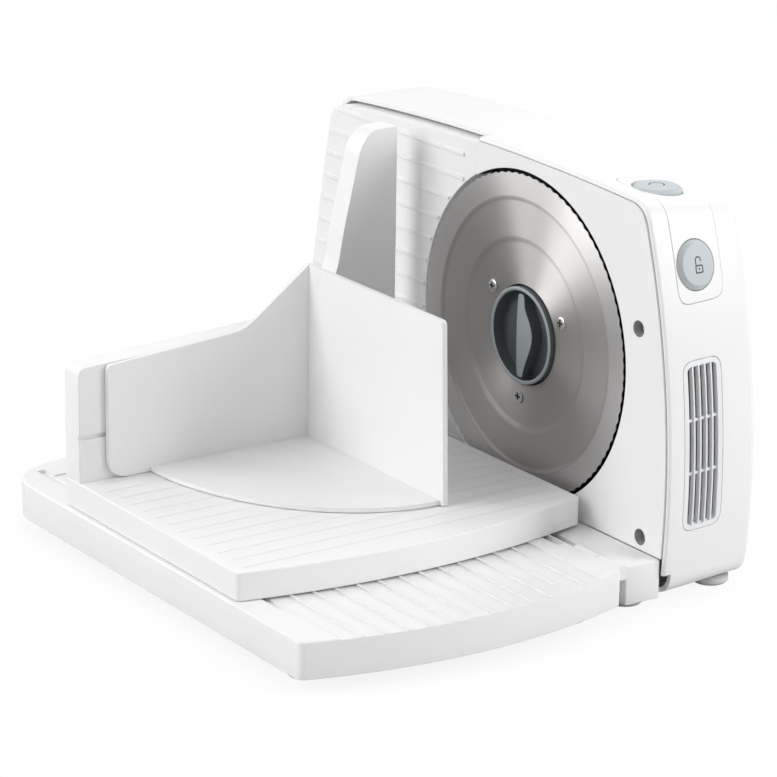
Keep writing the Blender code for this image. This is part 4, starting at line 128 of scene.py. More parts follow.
MOTOR_R = 0.0215
MOTOR_LENGTH = 0.066
MOTOR_TOP = -0.0130
SADDLE_INSET = 0.0120
SADDLE_REACH = 0.0150
TOP_LEFT_X = -0.1817
TOP_LEFT_Z = 0.0896
TOP_RIGHT_X = 0.0974
TOP_RIGHT_Z = 0.0919
BOTTOM_RIGHT_X = 0.1196
BOTTOM_LEFT_X = -0.2157
BOTTOM_Z = -0.1060
TOP_SAG = 0.0053
END_SAG = 0.0118
LEFT_SAG = 0.0016
TOP_LEFT_R = 0.012
TOP_RIGHT_R = 0.0095
BOTTOM_RIGHT_R = 0.010
BOTTOM_LEFT_R = 0.010
SHELL_FRONT = 0.0010
SHELL_BACK = 0.0620
LIP_R = 0.0018
BACK_EDGE_R = 0.0050
SHELL_WALL = 0.0028
SEAM_INSET = 0.0020
MOUTH_DEPTH = 0.0165
END_DRAFT_SHARE = 0.10
TOP_DRAFT_SHARE = 0.14
STOP_SETBACK = 0.0090
STOP_SEAM_GAP = 0.0014
LEDGE_TOP = -0.0859
STOP_SPLIT_X = -0.0420
STOP_TRAVEL = 0.0130
PLATE_THICK = 0.0026
PLATE_BOTTOM_Z = -0.0852
RECESS_GAP = 0.0018
RECESS_R = BLADE_R + RECESS_GAP
RECESS_DEPTH = 0.0100
RECESS_WALL = 0.0024
RECESS_FLOOR = 0.0024
WHEEL_HOLE_R = 0.0404
WELL_R = 0.00425
WELL_WALL = 0.0016
WELL_DEPTH = 0.0080
WELL_FLOOR = 0.0025
UPPER_WELL = (0.0956, 0.0281)
LOWER_WELL = (0.1024, -0.0785)
PLATE_SCREW_HEAD_R = 0.0036
PLATE_SCREW_HEAD_THICK = 0.0026
PLATE_SCREW_SHANK_R = 0.0016
PLATE_SCREW_LENGTH = 0.0140
STOP_WALL = 0.0024
STOP_SKIRT = 0.0180
STOP_ARC_GAP = 0.0008
STOP_ARC_R = RECESS_R + STOP_ARC_GAP
STOP_RIB_PITCH = 0.0130
STOP_RIB_TOP_Z = 0.0831
STOP_RIB_WIDTH = 0.0018
STOP_RIB_HEIGHT = 0.0009
STOP_RIBS = 13
STOP_RIB_MARGIN = 0.0022
STOP_RIB_END_GAP = 0.0125
STOP_RIB_ARC_GAP = 0.0012
GUIDE_POST_R = 0.0040
GUIDE_POST_LENGTH = 0.040
GUIDE_BUSH_WALL = 0.0026
GUIDE_BUSH_FRONT = 0.0330
UPPER_GUIDE = (-0.1520, 0.0620)
LOWER_GUIDE = (-0.1720, -0.0600)
DIAL_X = -0.1560
DIAL_Z = 0.0040
SPINDLE_R = 0.0040
SPINDLE_THREAD = 0.0010
SPINDLE_LOBES = 3
THREAD_GAP = 0.0005
THREAD_LEAD = 0.0156
NUT_WALL = 0.0030
NUT_END = 0.0320
DIAL_RING_R = 0.0290
DIAL_RING_THICK = 0.0010
OUTLET_LEFT = -0.1180
OUTLET_RIGHT = -0.0500
OUTLET_BOTTOM = -0.0800
OUTLET_TOP = 0.0560
OUTLET_CORNER_R = 0.012
DEFLECTOR_WALL = 0.0018
DEFLECTOR_FRONT_X = -0.0500
DEFLECTOR_BACK_X = -0.0420
DEFLECTOR_REACH = 0.0700
PANEL_LEFT = 0.0535
PANEL_BOTTOM = 0.0412
PANEL_FRONT = 0.0131
PANEL_BACK = 0.0440
PANEL_CORNER_R = 0.0075
PANEL_SEAM = 0.0003
BUTTON_R = 0.0126
BUTTON_GAP = 0.0004
BUTTON_PROUD = 0.0026
BUTTON_DOME = 0.0012
BUTTON_THICK = 0.0050
BUTTON_SKIRT = 0.0020
BUTTON_STEM_R = 0.0032
BUTTON_WELL_WALL = 0.0016
BUTTON_WELL_DEPTH = 0.0135
BUTTON_WELL_FLOOR = 0.0016
TOP_BUTTON_X = 0.0742
SIDE_BUTTON_Z = 0.0618
BUTTON_Y = 0.0268
VENT_FRONT = 0.0115
VENT_BACK = 0.0376
VENT_BOTTOM = -0.0728
VENT_TOP = 0.0136
VENT_CORNER_R = 0.0070
VENT_SLOTS = 5
VENT_SLOT_WIDTH = 0.0031
VENT_BARS = 3
VENT_BORDER = 0.0026
VENT_RIB = 0.0014
VENT_RIB_SINK = 0.0010
PLINTH_LEFT = -0.2070
PLINTH_RIGHT = 0.1185
PLINTH_FRONT = -0.0205
PLINTH_BACK = 0.0007
PLINTH_TOP = -0.0855
PLINTH_WALL = 0.0026
PLINTH_EDGE_R = 0.0010
TONGUE_PLACES = (-0.1200, 0.0550)
TONGUE_WIDTH = 0.0160
TONGUE_THICK = 0.0026
TONGUE_END = 0.0180
TONGUE_HOLE_Y = 0.0120
PLINTH_SCREW_HEAD_R = 0.0030
PLINTH_SCREW_HEAD_THICK = 0.0012
PLINTH_SCREW_SHANK_R = 0.0014
NOTCH_TOP = -0.0940
NOTCH_DEPTH = 0.0062
FLOOR_Z = -0.1100
FOOT_R = 0.0095
FOOT_CHAMFER = 0.0012
FOOT_STUD_R = 0.0025
FOOT_STUD_LENGTH = 0.0022
FRONT_FOOT_Y = -0.0098
BACK_FOOT_Y = 0.0450
RIGHT_FOOT_X = 0.1040
LEFT_FOOT_X = -0.1900
CARRIAGE_FRONT = -0.2095
TABLE_FRONT_MARGIN = 0.0030
TABLE_FRONT = CARRIAGE_FRONT - TABLE_FRONT_MARGIN
TABLE_FAR_X = -0.1630
TABLE_NEAR_X = 0.1185
TABLE_NEAR_HINGE_X = 0.1215
TABLE_BACK = -0.0256
TABLE_TOP = -0.0840
TABLE_UNDER = -0.1030
TABLE_WALL = 0.0030
TABLE_NEAR_SAG = 0.0150
TABLE_FAR_SAG = 0.0115
TABLE_CORNER_R = 0.0035
TABLE_FAR_R = 0.0250
TABLE_EDGE_R = 0.0011
TABLE_RIB_PITCH = 0.0117
TABLE_RIB_WIDTH = 0.0014
TABLE_RIB_HEIGHT = 0.0008
TABLE_PANEL_MARGIN = 0.0190
TABLE_PANEL_BACK = -0.0340
TABLE_PANEL_FAR = -0.1480
TABLE_RIB_FIRST_X = -0.1170
TABLE_CROSS_RIBS = 4
TABLE_CROSS_RIB_PITCH = 0.0700
GROOVE_NEAR = 0.0780
GROOVE_FAR = -0.1580
GROOVE_WIDTH = 0.0044
GROOVE_DEPTH = 0.0018
GROOVE_INSET = 0.0143
FRONT_GROOVE_Y = CARRIAGE_FRONT + GROOVE_INSET
BACK_GROOVE_Y = -0.0305
TABLE_FOOT_R = 0.0080
NEAR_FRONT_FOOT_X = 0.0980
NEAR_FRONT_FOOT_INSET = 0.0165
FAR_FRONT_FOOT_X = -0.1280
FAR_FRONT_FOOT_INSET = 0.0205
NEAR_BACK_FOOT_X = 0.1080
FAR_BACK_FOOT_X = -0.1480
BACK_FOOT_INSET = 0.0224
HINGE_Y = -0.0230
HINGE_Z = -0.0880
KNUCKLE_R = 0.0039
KNUCKLE_LENGTH = 0.0180
KNUCKLE_INSET = 0.0200
KNUCKLE_RELIEF_R = 0.0044
HINGE_PIN_R = 0.0016
HINGE_PIN_END = 0.0016
CARRIAGE_FAR_X = -0.1060
CARRIAGE_NEAR_X = 0.0595
CARRIAGE_SAG = 0.0126
CARRIAGE_BACK = -0.0049
CARRIAGE_TOP = -0.0692
CARRIAGE_UNDER = -0.0836
CARRIAGE_WALL = 0.0025
CARRIAGE_EDGE_R = 0.0008
CARRIAGE_CORNER_R = 0.0024
CARRIAGE_RIB_PITCH = 0.0117
CARRIAGE_RIB_DEPTH = 0.00012
CARRIAGE_RIB_WIDTH = 0.0040
CARRIAGE_RIB_MARGIN = 0.0060
CARRIAGE_CROSS_RIBS = (-0.0780, -0.0600, -0.0050, 0.0400)
WALL_THICK = 0.0140
WALL_FRONT_TOP = -0.0084
WALL_BACK_TOP = -0.0015
FIN_FOOT_Y = -0.0640
FIN_LOW_Y = -0.0532
FIN_LOW_Z = 0.0183
FIN_MID_Y = -0.0490
FIN_MID_Z = 0.0415
FIN_HIGH_Y = -0.0385
FIN_HIGH_Z = 0.0860
FIN_TOP_Y = -0.0310
FIN_TOP_Z = 0.0932
FIN_BACK_Y = -0.0160
FIN_BACK_Z = 0.0932
WALL_FRONT_R = 0.0040
FIN_FOOT_R = 0.0120
FIN_LOW_R = 0.0090
FIN_HIGH_R = 0.0060
FIN_TOP_R = 0.0040
GUIDE_SLOT_Z = -0.0452
GUIDE_SLOT_HEIGHT = 0.0022
GUIDE_SLOT_DEPTH = 0.0014
KEEL_FAR = -0.1000
KEEL_NEAR = 0.0150
KEEL_WIDTH = 0.0032
KEEL_DEPTH = 0.0012
RIB_THICK = 0.0018
GLIDE_X = -0.0400
GLIDE_LENGTH = 0.0500
GLIDE_Y = -0.0115
SLOT_WIDTH = 0.0060
GLIDE_PEG_R = 0.0022
GLIDE_PEG_HEIGHT = 0.0070
GLIDE_PEG_SPACING = 0.0300
PEG_BOSS_WALL = 0.0022
CARRIAGE_BACK_TRAVEL = 0.0550
CARRIAGE_FORE_TRAVEL = 0.0600
HOLDER_WALL = 0.0028
HOLDER_FLOOR = 0.0024
HOLDER_FACE_Y = -0.0727
HOLDER_NEAR_TOP_X = 0.0318
HOLDER_NEAR_FOOT_X = 0.0353
HOLDER_TOP_Z = 0.0270
HOLDER_LOW_Y = -0.1120
HOLDER_LOW_Z = -0.0022
HOLDER_LOW_R = 0.0080
HOLDER_END_INSET = 0.0155
HOLDER_END_Z = -0.0082
HOLDER_CORNER_R = 0.0030
HOLDER_FOOT_R = 0.0120
HOLDER_FLOOR_X_REACH = 0.1240
HOLDER_FLOOR_Y_REACH = 0.0980
TONGUE_LENGTH = 0.0700
GLAND_X = 0.0100
GLAND_Z = -0.0780
GLAND_R = 0.0075
GLAND_FLANGE_R = 0.0098
GLAND_FLANGE_THICK = 0.0020
GLAND_BORE_R = 0.0034
ROUND = 96
SMALL_ROUND = 40
TINY_ROUND = 20
BLADE_STEPS = 160
MITRE_LEAST_SHARE = 0.5
PANEL_BACK_SEAM_PART = 6
SHARP_ANGLE = math.radians(32)
SWELL_SPREAD = 0.0021
RING_SPREAD = 0.0015
BUTTON_SLOPE = 0.0024
BUTTON_CROWN_STEPS = 12
BUTTON_RIM_STEPS = 8
BUTTON_RIM_TURN = math.pi / 3
TOP_CROWN = 0.0019
HOLLOW_GRIND = 0.2
SIGN_PROUD = 0.00004
TOP_SIGN_R = 0.0037
TOP_SIGN_LINE = 0.0009
ARC_STEPS = 24
PADLOCK_BODY = (-0.0026, -0.0043, 0.0026, -0.0001, 0.0009)
PADLOCK_HOLLOW = (-0.0019, -0.0036, 0.0019, -0.0008, 0.0005)
PADLOCK_KEYHOLE = (-0.0004, -0.0028, 0.0004, -0.0016, 0.0003)
SHACKLE_CENTRE = (-0.0003, 0.0022)
SHACKLE_R = 0.0017
SHACKLE_THICK = 0.0007
SHACKLE_LEG_END = -0.00005
WELLS = (UPPER_WELL, LOWER_WELL)
GUIDES = (UPPER_GUIDE, LOWER_GUIDE)
AXIS_TURN = {
    'X': Matrix.Rotation(math.pi / 2, 4, 'Z') @ Matrix.Rotation(math.pi / 2, 4, 'X'),
    'Y': Matrix.Rotation(math.pi / 2, 4, 'X'),
    'Z': Matrix.Identity(4),
}


def link_part(name, mesh):
    part = bpy.data.objects.new(name, mesh)
    PARTS.objects.link(part)
    return part


def boolean(part, tool, operation):
    """Combines a part with a helper shape, which the finished slicer leaves out."""
    PARTS.objects.unlink(tool)
    CUTTERS.objects.link(tool)
    tool.hide_render = True
    modifier = part.modifiers.new(tool.name, 'BOOLEAN')
    modifier.operation = operation
    modifier.object = tool
    modifier.solver = 'EXACT'
    return part


def cut(part, tool):
    return boolean(part, tool, 'DIFFERENCE')


def join(part, tool):
    return boolean(part, tool, 'UNION')


def keep(part, tool):
    return boolean(part, tool, 'INTERSECT')


def round_edges(part, width, segments=2, angle=50):
    bevel = part.modifiers.new("round_edges", 'BEVEL')
    bevel.width = width
    bevel.segments = segments
    bevel.limit_method = 'ANGLE'
    bevel.angle_limit = math.radians(angle)
    bevel.use_clamp_overlap = True
    return part


def mesh_from(bm, name):
    mesh = bpy.data.meshes.new(name)
    bmesh.ops.recalc_face_normals(bm, faces=bm.faces)
    bm.to_mesh(mesh)
    bm.free()
    return link_part(name, mesh)


def box(name, low, high):
    """A box between two opposite corners."""
    return boxes(name, [(low, high)])


def boxes(name, corner_pairs):
    """Several separate boxes in one helper."""
    bm = bmesh.new()
    for low, high in corner_pairs:
        made = bmesh.ops.create_cube(bm, size=1)["verts"]
        size = Vector(high) - Vector(low)
        middle = (Vector(high) + Vector(low)) / 2
        matrix = Matrix.Translation(middle) @ Matrix.Diagonal((*size, 1))
        bmesh.ops.transform(bm, matrix=matrix, verts=made)
    return mesh_from(bm, name)


def rod(name, axis, start, end, at, radius, sides=SMALL_ROUND):
    """A round bar along one axis; at holds its two other coordinates in X, Y, Z order."""
    return rods(name, axis, start, end, [at], radius, sides)


def rods(name, axis, start, end, places, radius, sides=SMALL_ROUND):
    """Several separate round bars in one helper."""
    bm = bmesh.new()
    for at in places:
        made = bmesh.ops.create_cone(bm, cap_ends=True, segments=sides, radius1=radius,
                                     radius2=radius, depth=end - start)["verts"]
        middle = list(at)
        middle.insert("XYZ".index(axis), (start + end) / 2)
        matrix = Matrix.Translation(middle) @ AXIS_TURN[axis]
        bmesh.ops.transform(bm, matrix=matrix, verts=made)
    return mesh_from(bm, name)


def evaluated_mesh(item):
    bpy.context.view_layer.update()
    graph = bpy.context.evaluated_depsgraph_get()
    return bpy.data.meshes.new_from_object(item.evaluated_get(graph))


def apply_modifiers(item):
    mesh = evaluated_mesh(item)
    item.modifiers.clear()
    item.data = mesh
    return mesh


def curve_to_mesh(curve_object, name, matrix):
    """Replaces a curve by its welded mesh, turned into place."""
    mesh = evaluated_mesh(curve_object)
    mesh.name = name
    bpy.data.objects.remove(curve_object)
    bm = bmesh.new()
    bm.from_mesh(mesh)
    bmesh.ops.remove_doubles(bm, verts=bm.verts, dist=WELD)
    bmesh.ops.transform(bm, matrix=matrix, verts=bm.verts)
    bmesh.ops.recalc_face_normals(bm, faces=bm.faces)
    bm.to_mesh(mesh)
    bm.free()
    return link_part(name, mesh)


def prism(name, axis, start, end, *outlines):
    """A flat outline, with any holes after it, drawn out along an axis.

    Outlines along X are given as (Y, Z), along Y as (X, Z) and along Z as (X, Y).
    """
    curve = bpy.data.curves.new(name + "_outline", 'CURVE')
    curve.dimensions = '2D'
    curve.fill_mode = 'BOTH'
    curve.extrude = (end - start) / 2
    for outline in outlines:
        spline = curve.splines.new('POLY')
        spline.points.add(len(outline) - 1)
        for point, (across, along) in zip(spline.points, outline):
            point.co = (across, along, 0, 1)
        spline.use_cyclic_u = True
    holder = bpy.data.objects.new(name + "_outline", curve)
    PARTS.objects.link(holder)
    shift = [0, 0, 0]
    shift["XYZ".index(axis)] = (start + end) / 2
    return curve_to_mesh(holder, name, Matrix.Translation(shift) @ AXIS_TURN[axis])


def turned(name, centre, profile, steps=ROUND, facing=(0, -1, 0), first_step=0):
    """A turned piece; profile points are (radius, height), height running along facing.

    A profile that starts on the axis ends on it; any other closes on itself as a ring.
    First_step turns the facets on by a share of one facet.
    """
    bm = bmesh.new()
    loops = []
    for radius, height in profile:
        if radius == 0:
            loops.append([bm.verts.new((0, 0, height))] * steps)
            continue
        loop = []
        for step in range(steps):
            angle = 2 * math.pi * (step + first_step) / steps
            loop.append(bm.verts.new((radius * math.cos(angle), radius * math.sin(angle), height)))
        loops.append(loop)
    following = loops[1:] + loops[:1] if profile[0][0] > 0 else loops[1:]
    for first, second in zip(loops, following):
        for step in range(steps):
            after = (step + 1) % steps
            corners = (first[step], first[after], second[after], second[step])
            bm.faces.new(sorted(set(corners), key=corners.index))
    turn = Vector(facing).to_track_quat('Z', 'Y').to_matrix()
    bmesh.ops.rotate(bm, cent=(0, 0, 0), matrix=turn, verts=bm.verts)
    part = mesh_from(bm, name)
    part.location = centre
    return part


def loft(name, rings):
    """Joins rings of equally many points into one closed skin."""
    bm = bmesh.new()
    loops = [[bm.verts.new(point) for point in ring] for ring in rings]
    for first, second in zip(loops, loops[1:]):
        for i in range(len(first)):
            j = (i + 1) % len(first)
            bm.faces.new((first[i], first[j], second[j], second[i]))
    bm.faces.new(loops[0])
    bm.faces.new(loops[-1])
    return mesh_from(bm, name)


def side_point(start, end, sag, share):
    """A point along a side that bows outwards by sag; outlines run clockwise."""
    along = Vector(end) - Vector(start)
    outward = Vector((-along.y, along.x)).normalized()
    return Vector(start) + along * share + outward * (4 * sag * share * (1 - share))


def rounded_outline(corners, side_steps=30, corner_steps=9):
    """Outline through corners (across, along, radius, sag of the side that follows), clockwise."""
    points = []
    for i, (across, along, radius, sag) in enumerate(corners):
        before, following = corners[i - 1], corners[(i + 1) % len(corners)]
        last, here, after = before[:2], (across, along), following[:2]
        came = (Vector(here) - Vector(last)).length
        goes = (Vector(after) - Vector(here)).length
        enter = side_point(last, here, before[3], 1 - radius / came)
        leave = side_point(here, after, sag, radius / goes)
        if radius > 0:
            for step in range(corner_steps + 1):
                share = step / corner_steps
                blend = enter * (1 - share) ** 2 + leave * share ** 2
                points.append(blend + Vector(here) * (2 * share * (1 - share)))
        else:
            points.append(Vector(here))
        if sag:
            first = radius / goes
            last_share = 1 - following[2] / goes
            for step in range(1, side_steps):
                share = first + (last_share - first) * step / side_steps
                points.append(side_point(here, after, sag, share))
    return [tuple(point) for point in points]


def narrowed(outline, inset):
    """The same outline drawn in by inset at its sides, with its corners scaled alike."""
    across = [point[0] for point in outline]
    along = [point[1] for point in outline]
    middle_x = (max(across) + min(across)) / 2
    middle_z = (max(along) + min(along)) / 2
    shrink_x = 1 - 2 * inset / (max(across) - min(across))
    shrink_z = 1 - 2 * inset / (max(along) - min(along))
    return [(middle_x + (x - middle_x) * shrink_x, middle_z + (z - middle_z) * shrink_z)
            for x, z in outline]


def offset(outline, inset):
    """Moves each side of a clockwise outline inwards by inset."""
    points = [Vector(point) for point in outline]
    moved = []
    for i, here in enumerate(points):
        came = (here - points[i - 1]).normalized()
        goes = (points[(i + 1) % len(points)] - here).normalized()
        inward_came = Vector((came.y, -came.x))
        inward_goes = Vector((goes.y, -goes.x))
        middle = (inward_came + inward_goes).normalized()
        reach = inset / max(middle.dot(inward_goes), MITRE_LEAST_SHARE)
        moved.append(tuple(here + middle * reach))
    return moved


def housing_outline():
    corners = [
        (TOP_LEFT_X, TOP_LEFT_Z, TOP_LEFT_R, TOP_SAG),
        (TOP_RIGHT_X, TOP_RIGHT_Z, TOP_RIGHT_R, END_SAG),
        (BOTTOM_RIGHT_X, BOTTOM_Z, BOTTOM_RIGHT_R, 0),
        (BOTTOM_LEFT_X, BOTTOM_Z, BOTTOM_LEFT_R, LEFT_SAG),
    ]
    return rounded_outline(corners)


def drafted(x, y, z):
    """Draws the vented end inwards and its top downwards with depth; the bottom stays flat."""
    pull = y * max(0, x - STOP_SPLIT_X) / (BOTTOM_RIGHT_X - STOP_SPLIT_X)
    height_share = (z - BOTTOM_Z) / (TOP_RIGHT_Z - BOTTOM_Z)
    return x - END_DRAFT_SHARE * pull, y, z - TOP_DRAFT_SHARE * pull * height_share


def housing_ring(y, inset):
    return [drafted(x, y, z) for x, z in narrowed(housing_outline(), inset)]


def quarter_turn(steps):
    """Sine and cosine at even steps through a quarter turn."""
    angles = [math.pi / 2 * step / steps for step in range(steps + 1)]
    return [(math.sin(angle), math.cos(angle)) for angle in angles]


def housing_solid(name, lip_steps=6, back_steps=10):
    """The housing's outer form: a soft lip in front and a wide rounding at the back."""
    rings = [housing_ring(SHELL_FRONT + LIP_R * (1 - cos), LIP_R * (1 - sin))
             for sin, cos in quarter_turn(lip_steps)]
    rings += [housing_ring(SHELL_BACK - BACK_EDGE_R * (1 - sin), BACK_EDGE_R * (1 - cos))
              for sin, cos in quarter_turn(back_steps)]
    return loft(name, rings)


def housing_room(back_steps=8):
    """The hollow behind the housing's mouth, one wall thickness inside the outer form."""
    inner_r = BACK_EDGE_R - SHELL_WALL
    rings = [housing_ring(MOUTH_DEPTH - GAP, SHELL_WALL)]
    rings += [housing_ring(SHELL_BACK - SHELL_WALL - inner_r * (1 - sin),
                           SHELL_WALL + inner_r * (1 - cos)) for sin, cos in quarter_turn(back_steps)]
    return loft("housing_room", rings)


def seam_prism(name, start, end, inset):
    """The housing's outline drawn in by inset and drawn out along Y with its draft."""
    return loft(name, [housing_ring(start, inset), housing_ring(end, inset)])


def left_of(name, x, start, end, bottom=-WIDE):
    return box(name, (-WIDE, start, bottom), (x, end, WIDE))


def rounded_box_outline(low_a, low_b, high_a, high_b, radius):
    corners = [(low_a, high_b, radius, 0), (high_a, high_b, radius, 0),
               (high_a, low_b, radius, 0), (low_a, low_b, radius, 0)]
    return rounded_outline(corners)


def top_surface(x):
    """Height of the housing's top over x, away from its corners."""
    share = (x - TOP_LEFT_X) / (TOP_RIGHT_X - TOP_LEFT_X)
    chord = TOP_LEFT_Z + (TOP_RIGHT_Z - TOP_LEFT_Z) * share
    return chord + 4 * TOP_SAG * share * (1 - share)


def end_surface(z):
    """How far the housing's vented end reaches out at height z."""
    share = (TOP_RIGHT_Z - z) / (TOP_RIGHT_Z - BOTTOM_Z)
    chord = TOP_RIGHT_X + (BOTTOM_RIGHT_X - TOP_RIGHT_X) * share
    return chord + 4 * END_SAG * share * (1 - share)


def top_button_place():
    return Vector(drafted(TOP_BUTTON_X, BUTTON_Y, top_surface(TOP_BUTTON_X))), Vector((0, 0, 1))


def side_button_place():
    """Middle of the side button on the drafted end, and the end's outward direction there."""
    z = SIDE_BUTTON_Z
    step = BUTTON_R / 2
    low = Vector(drafted(end_surface(z - step), BUTTON_Y, z - step))
    high = Vector(drafted(end_surface(z + step), BUTTON_Y, z + step))
    near = Vector(drafted(end_surface(z), BUTTON_Y - step, z))
    far = Vector(drafted(end_surface(z), BUTTON_Y + step, z))
    facing = (far - near).cross(high - low).normalized()
    return Vector(drafted(end_surface(z), BUTTON_Y, z)), facing


def panel_room(name, gap):
    """The room of the switch panel: round corners seen from above and from the end."""
    corner_r = PANEL_CORNER_R + gap
    front = PANEL_FRONT - gap
    back = PANEL_BACK + gap / PANEL_BACK_SEAM_PART
    left = PANEL_LEFT - gap
    bottom = PANEL_BOTTOM - gap
    above = [(left, back, corner_r, 0), (WIDE, back, 0, 0), (WIDE, front, 0, 0),
             (left, front, corner_r, 0)]
    beside = [(front, WIDE, 0, 0), (back, WIDE, 0, 0), (back, bottom, corner_r, 0),
              (front, bottom, corner_r, 0)]
    room = prism(name, 'Z', 0, WIDE, rounded_outline(above))
    return keep(room, prism(name + "_end", 'X', 0, WIDE, rounded_outline(beside)))


def vent_prism(name, gap):
    outline = rounded_box_outline(VENT_FRONT - gap, VENT_BOTTOM - gap, VENT_BACK + gap,
                                  VENT_TOP + gap, VENT_CORNER_R + gap)
    return prism(name, 'X', TOP_RIGHT_X, WIDE, outline)


def build_rear_shell():
    shell = housing_solid("rear_shell")
    cut(shell, seam_prism("housing_mouth", -OVERRUN, MOUTH_DEPTH, SEAM_INSET))
    cut(shell, housing_room())
    cut(shell, left_of("stop_room", STOP_SPLIT_X, -OVERRUN, STOP_SETBACK, LEDGE_TOP - GAP))
    cut(shell, box("corner_notch", (PLINTH_RIGHT - 2 * SHELL_WALL, -OVERRUN, -WIDE),
                   (WIDE, NOTCH_DEPTH, NOTCH_TOP)))
    ledge = box("ledge", (BOTTOM_LEFT_X + 2 * SEAM_INSET, SHELL_FRONT + GAP, LEDGE_TOP - STOP_WALL),
                (STOP_SPLIT_X + GAP, STOP_TRAVEL + OVERRUN, LEDGE_TOP))
    join(shell, ledge)
    join(shell, rods("guide_bushes", 'Y', GUIDE_BUSH_FRONT, SHELL_BACK - GAP,
                     GUIDES, GUIDE_POST_R + SLIDE_GAP + GUIDE_BUSH_WALL))
    join(shell, rods("screw_bosses", 'Y', WELL_DEPTH + WELL_FLOOR + GAP, SHELL_BACK - SHELL_WALL / 2,
                     WELLS, WELL_R + WELL_WALL))
    cut(shell, rods("guide_bores", 'Y', GUIDE_BUSH_FRONT - OVERRUN, SHELL_BACK - SHELL_WALL,
                    GUIDES, GUIDE_POST_R + SLIDE_GAP))
    cut(shell, rods("boss_bores", 'Y', 0, WELL_DEPTH + PLATE_SCREW_LENGTH,
                    WELLS, PLATE_SCREW_SHANK_R + GAP, TINY_ROUND))
    outlet = rounded_box_outline(OUTLET_LEFT, OUTLET_BOTTOM, OUTLET_RIGHT, OUTLET_TOP,
                                 OUTLET_CORNER_R)
    cut(shell, prism("outlet_opening", 'Y', SHELL_BACK - 2 * SHELL_WALL, SHELL_BACK + OVERRUN,
                     outlet))
    cut(shell, rod("spindle_bore", 'Y', SHELL_BACK - 2 * SHELL_WALL, SHELL_BACK + OVERRUN,
                   (DIAL_X, DIAL_Z), SPINDLE_R + SLIDE_GAP))
    cut(shell, rod("gland_hole", 'Y', SHELL_BACK - 2 * SHELL_WALL, SHELL_BACK + OVERRUN,
                   (GLAND_X, GLAND_Z), GLAND_R + GAP))
    cut(shell, panel_room("panel_opening", PANEL_SEAM))
    cut(shell, vent_prism("vent_opening", PANEL_SEAM))
    cut(shell, rods("back_foot_holes", 'Z', BOTTOM_Z - OVERRUN, BOTTOM_Z + 2 * SHELL_WALL,
                    ((RIGHT_FOOT_X, BACK_FOOT_Y), (LEFT_FOOT_X, BACK_FOOT_Y)),
                    FOOT_STUD_R + GAP, TINY_ROUND))
    cut(shell, rods("tab_screw_holes", 'Z', BOTTOM_Z - OVERRUN, BOTTOM_Z + 2 * SEAM_INSET,
                    [(x, TONGUE_HOLE_Y) for x in TONGUE_PLACES],
                    PLINTH_SCREW_SHANK_R + GAP, TINY_ROUND))
    return finish(shell)


def build_front_plate():
    plate = seam_prism("front_plate", 0, PLATE_THICK, SEAM_INSET + GAP)
    recess_back = RECESS_DEPTH + RECESS_FLOOR
    join(plate, rod("dish", 'Y', PLATE_THICK / 2, recess_back, (0, 0), RECESS_R + RECESS_WALL,
                    BLADE_STEPS))
    join(plate, rods("screw_wells", 'Y', PLATE_THICK / 2, WELL_DEPTH + WELL_FLOOR,
                     WELLS, WELL_R + WELL_WALL))
    keep(plate, box("plate_limits", (DEFLECTOR_FRONT_X, -OVERRUN, PLATE_BOTTOM_Z),
                    (WIDE, RECESS_R, WIDE)))
    gate = left_of("slice_gate", STOP_SPLIT_X, -WIDE, WIDE)
    cut(gate, rod("gate_floor", 'Y', RECESS_DEPTH + GAP, WIDE / 2, (0, 0), RECESS_R, BLADE_STEPS))
    cut(plate, gate)
    cut(plate, rod("recess", 'Y', -OVERRUN, RECESS_DEPTH, (0, 0), RECESS_R, BLADE_STEPS))
    near = RECESS_DEPTH + RECESS_FLOOR / 2
    far = SHELL_BACK - SHELL_WALL - GAP
    deflector = [(DEFLECTOR_FRONT_X + GAP, near), (DEFLECTOR_BACK_X, far),
                 (DEFLECTOR_BACK_X + DEFLECTOR_WALL, far),
                 (DEFLECTOR_FRONT_X + DEFLECTOR_WALL, near)]
    join(plate, prism("deflector", 'Z', -DEFLECTOR_REACH, DEFLECTOR_REACH, deflector))
    join(plate, motor_saddles())
    cut(plate, rod("wheel_hole", 'Y', 0, recess_back + OVERRUN, (0, 0), WHEEL_HOLE_R, ROUND))
    cut(plate, rods("well_bores", 'Y', -OVERRUN, WELL_DEPTH, WELLS, WELL_R))
    cut(plate, rods("well_screw_bores", 'Y', 0, WELL_DEPTH + WELL_FLOOR + OVERRUN,
                    WELLS, PLATE_SCREW_SHANK_R + GAP, TINY_ROUND))
    return finish(plate)


def motor_place():
    pinion_x = GEAR_MODULE * (WHEEL_TEETH + PINION_TEETH) / 2 * math.cos(TRAIN_ANGLE)
    worm_wheel_pitch_r = WORM_WHEEL_TEETH * WORM_WHEEL_MODULE / 2
    return pinion_x + worm_wheel_pitch_r + WORM_R, WORM_WHEEL_FRONT + WORM_WHEEL_WIDTH / 2


def motor_saddles():
    """Two ribs behind the blade recess that carry the motor."""
    x, y = motor_place()
    front = RECESS_DEPTH + RECESS_FLOOR / 2
    levels = (MOTOR_TOP - SADDLE_INSET, MOTOR_TOP - MOTOR_LENGTH + SADDLE_INSET)
    saddles = boxes("motor_saddles", [((x - SADDLE_REACH, front, z - RIB_THICK),
                                       (x + SADDLE_REACH / 2, y - MOTOR_R / 2, z + RIB_THICK))
                                      for z in levels])
    cut(saddles, rod("motor_bed", 'Z', MOTOR_TOP - 2 * MOTOR_LENGTH, 0, (x, y),
                     MOTOR_R + GAP, ROUND))
    keep(saddles, rod("saddle_limits", 'Y', 0, WIDE, (0, 0), RECESS_R, ROUND))
    return saddles


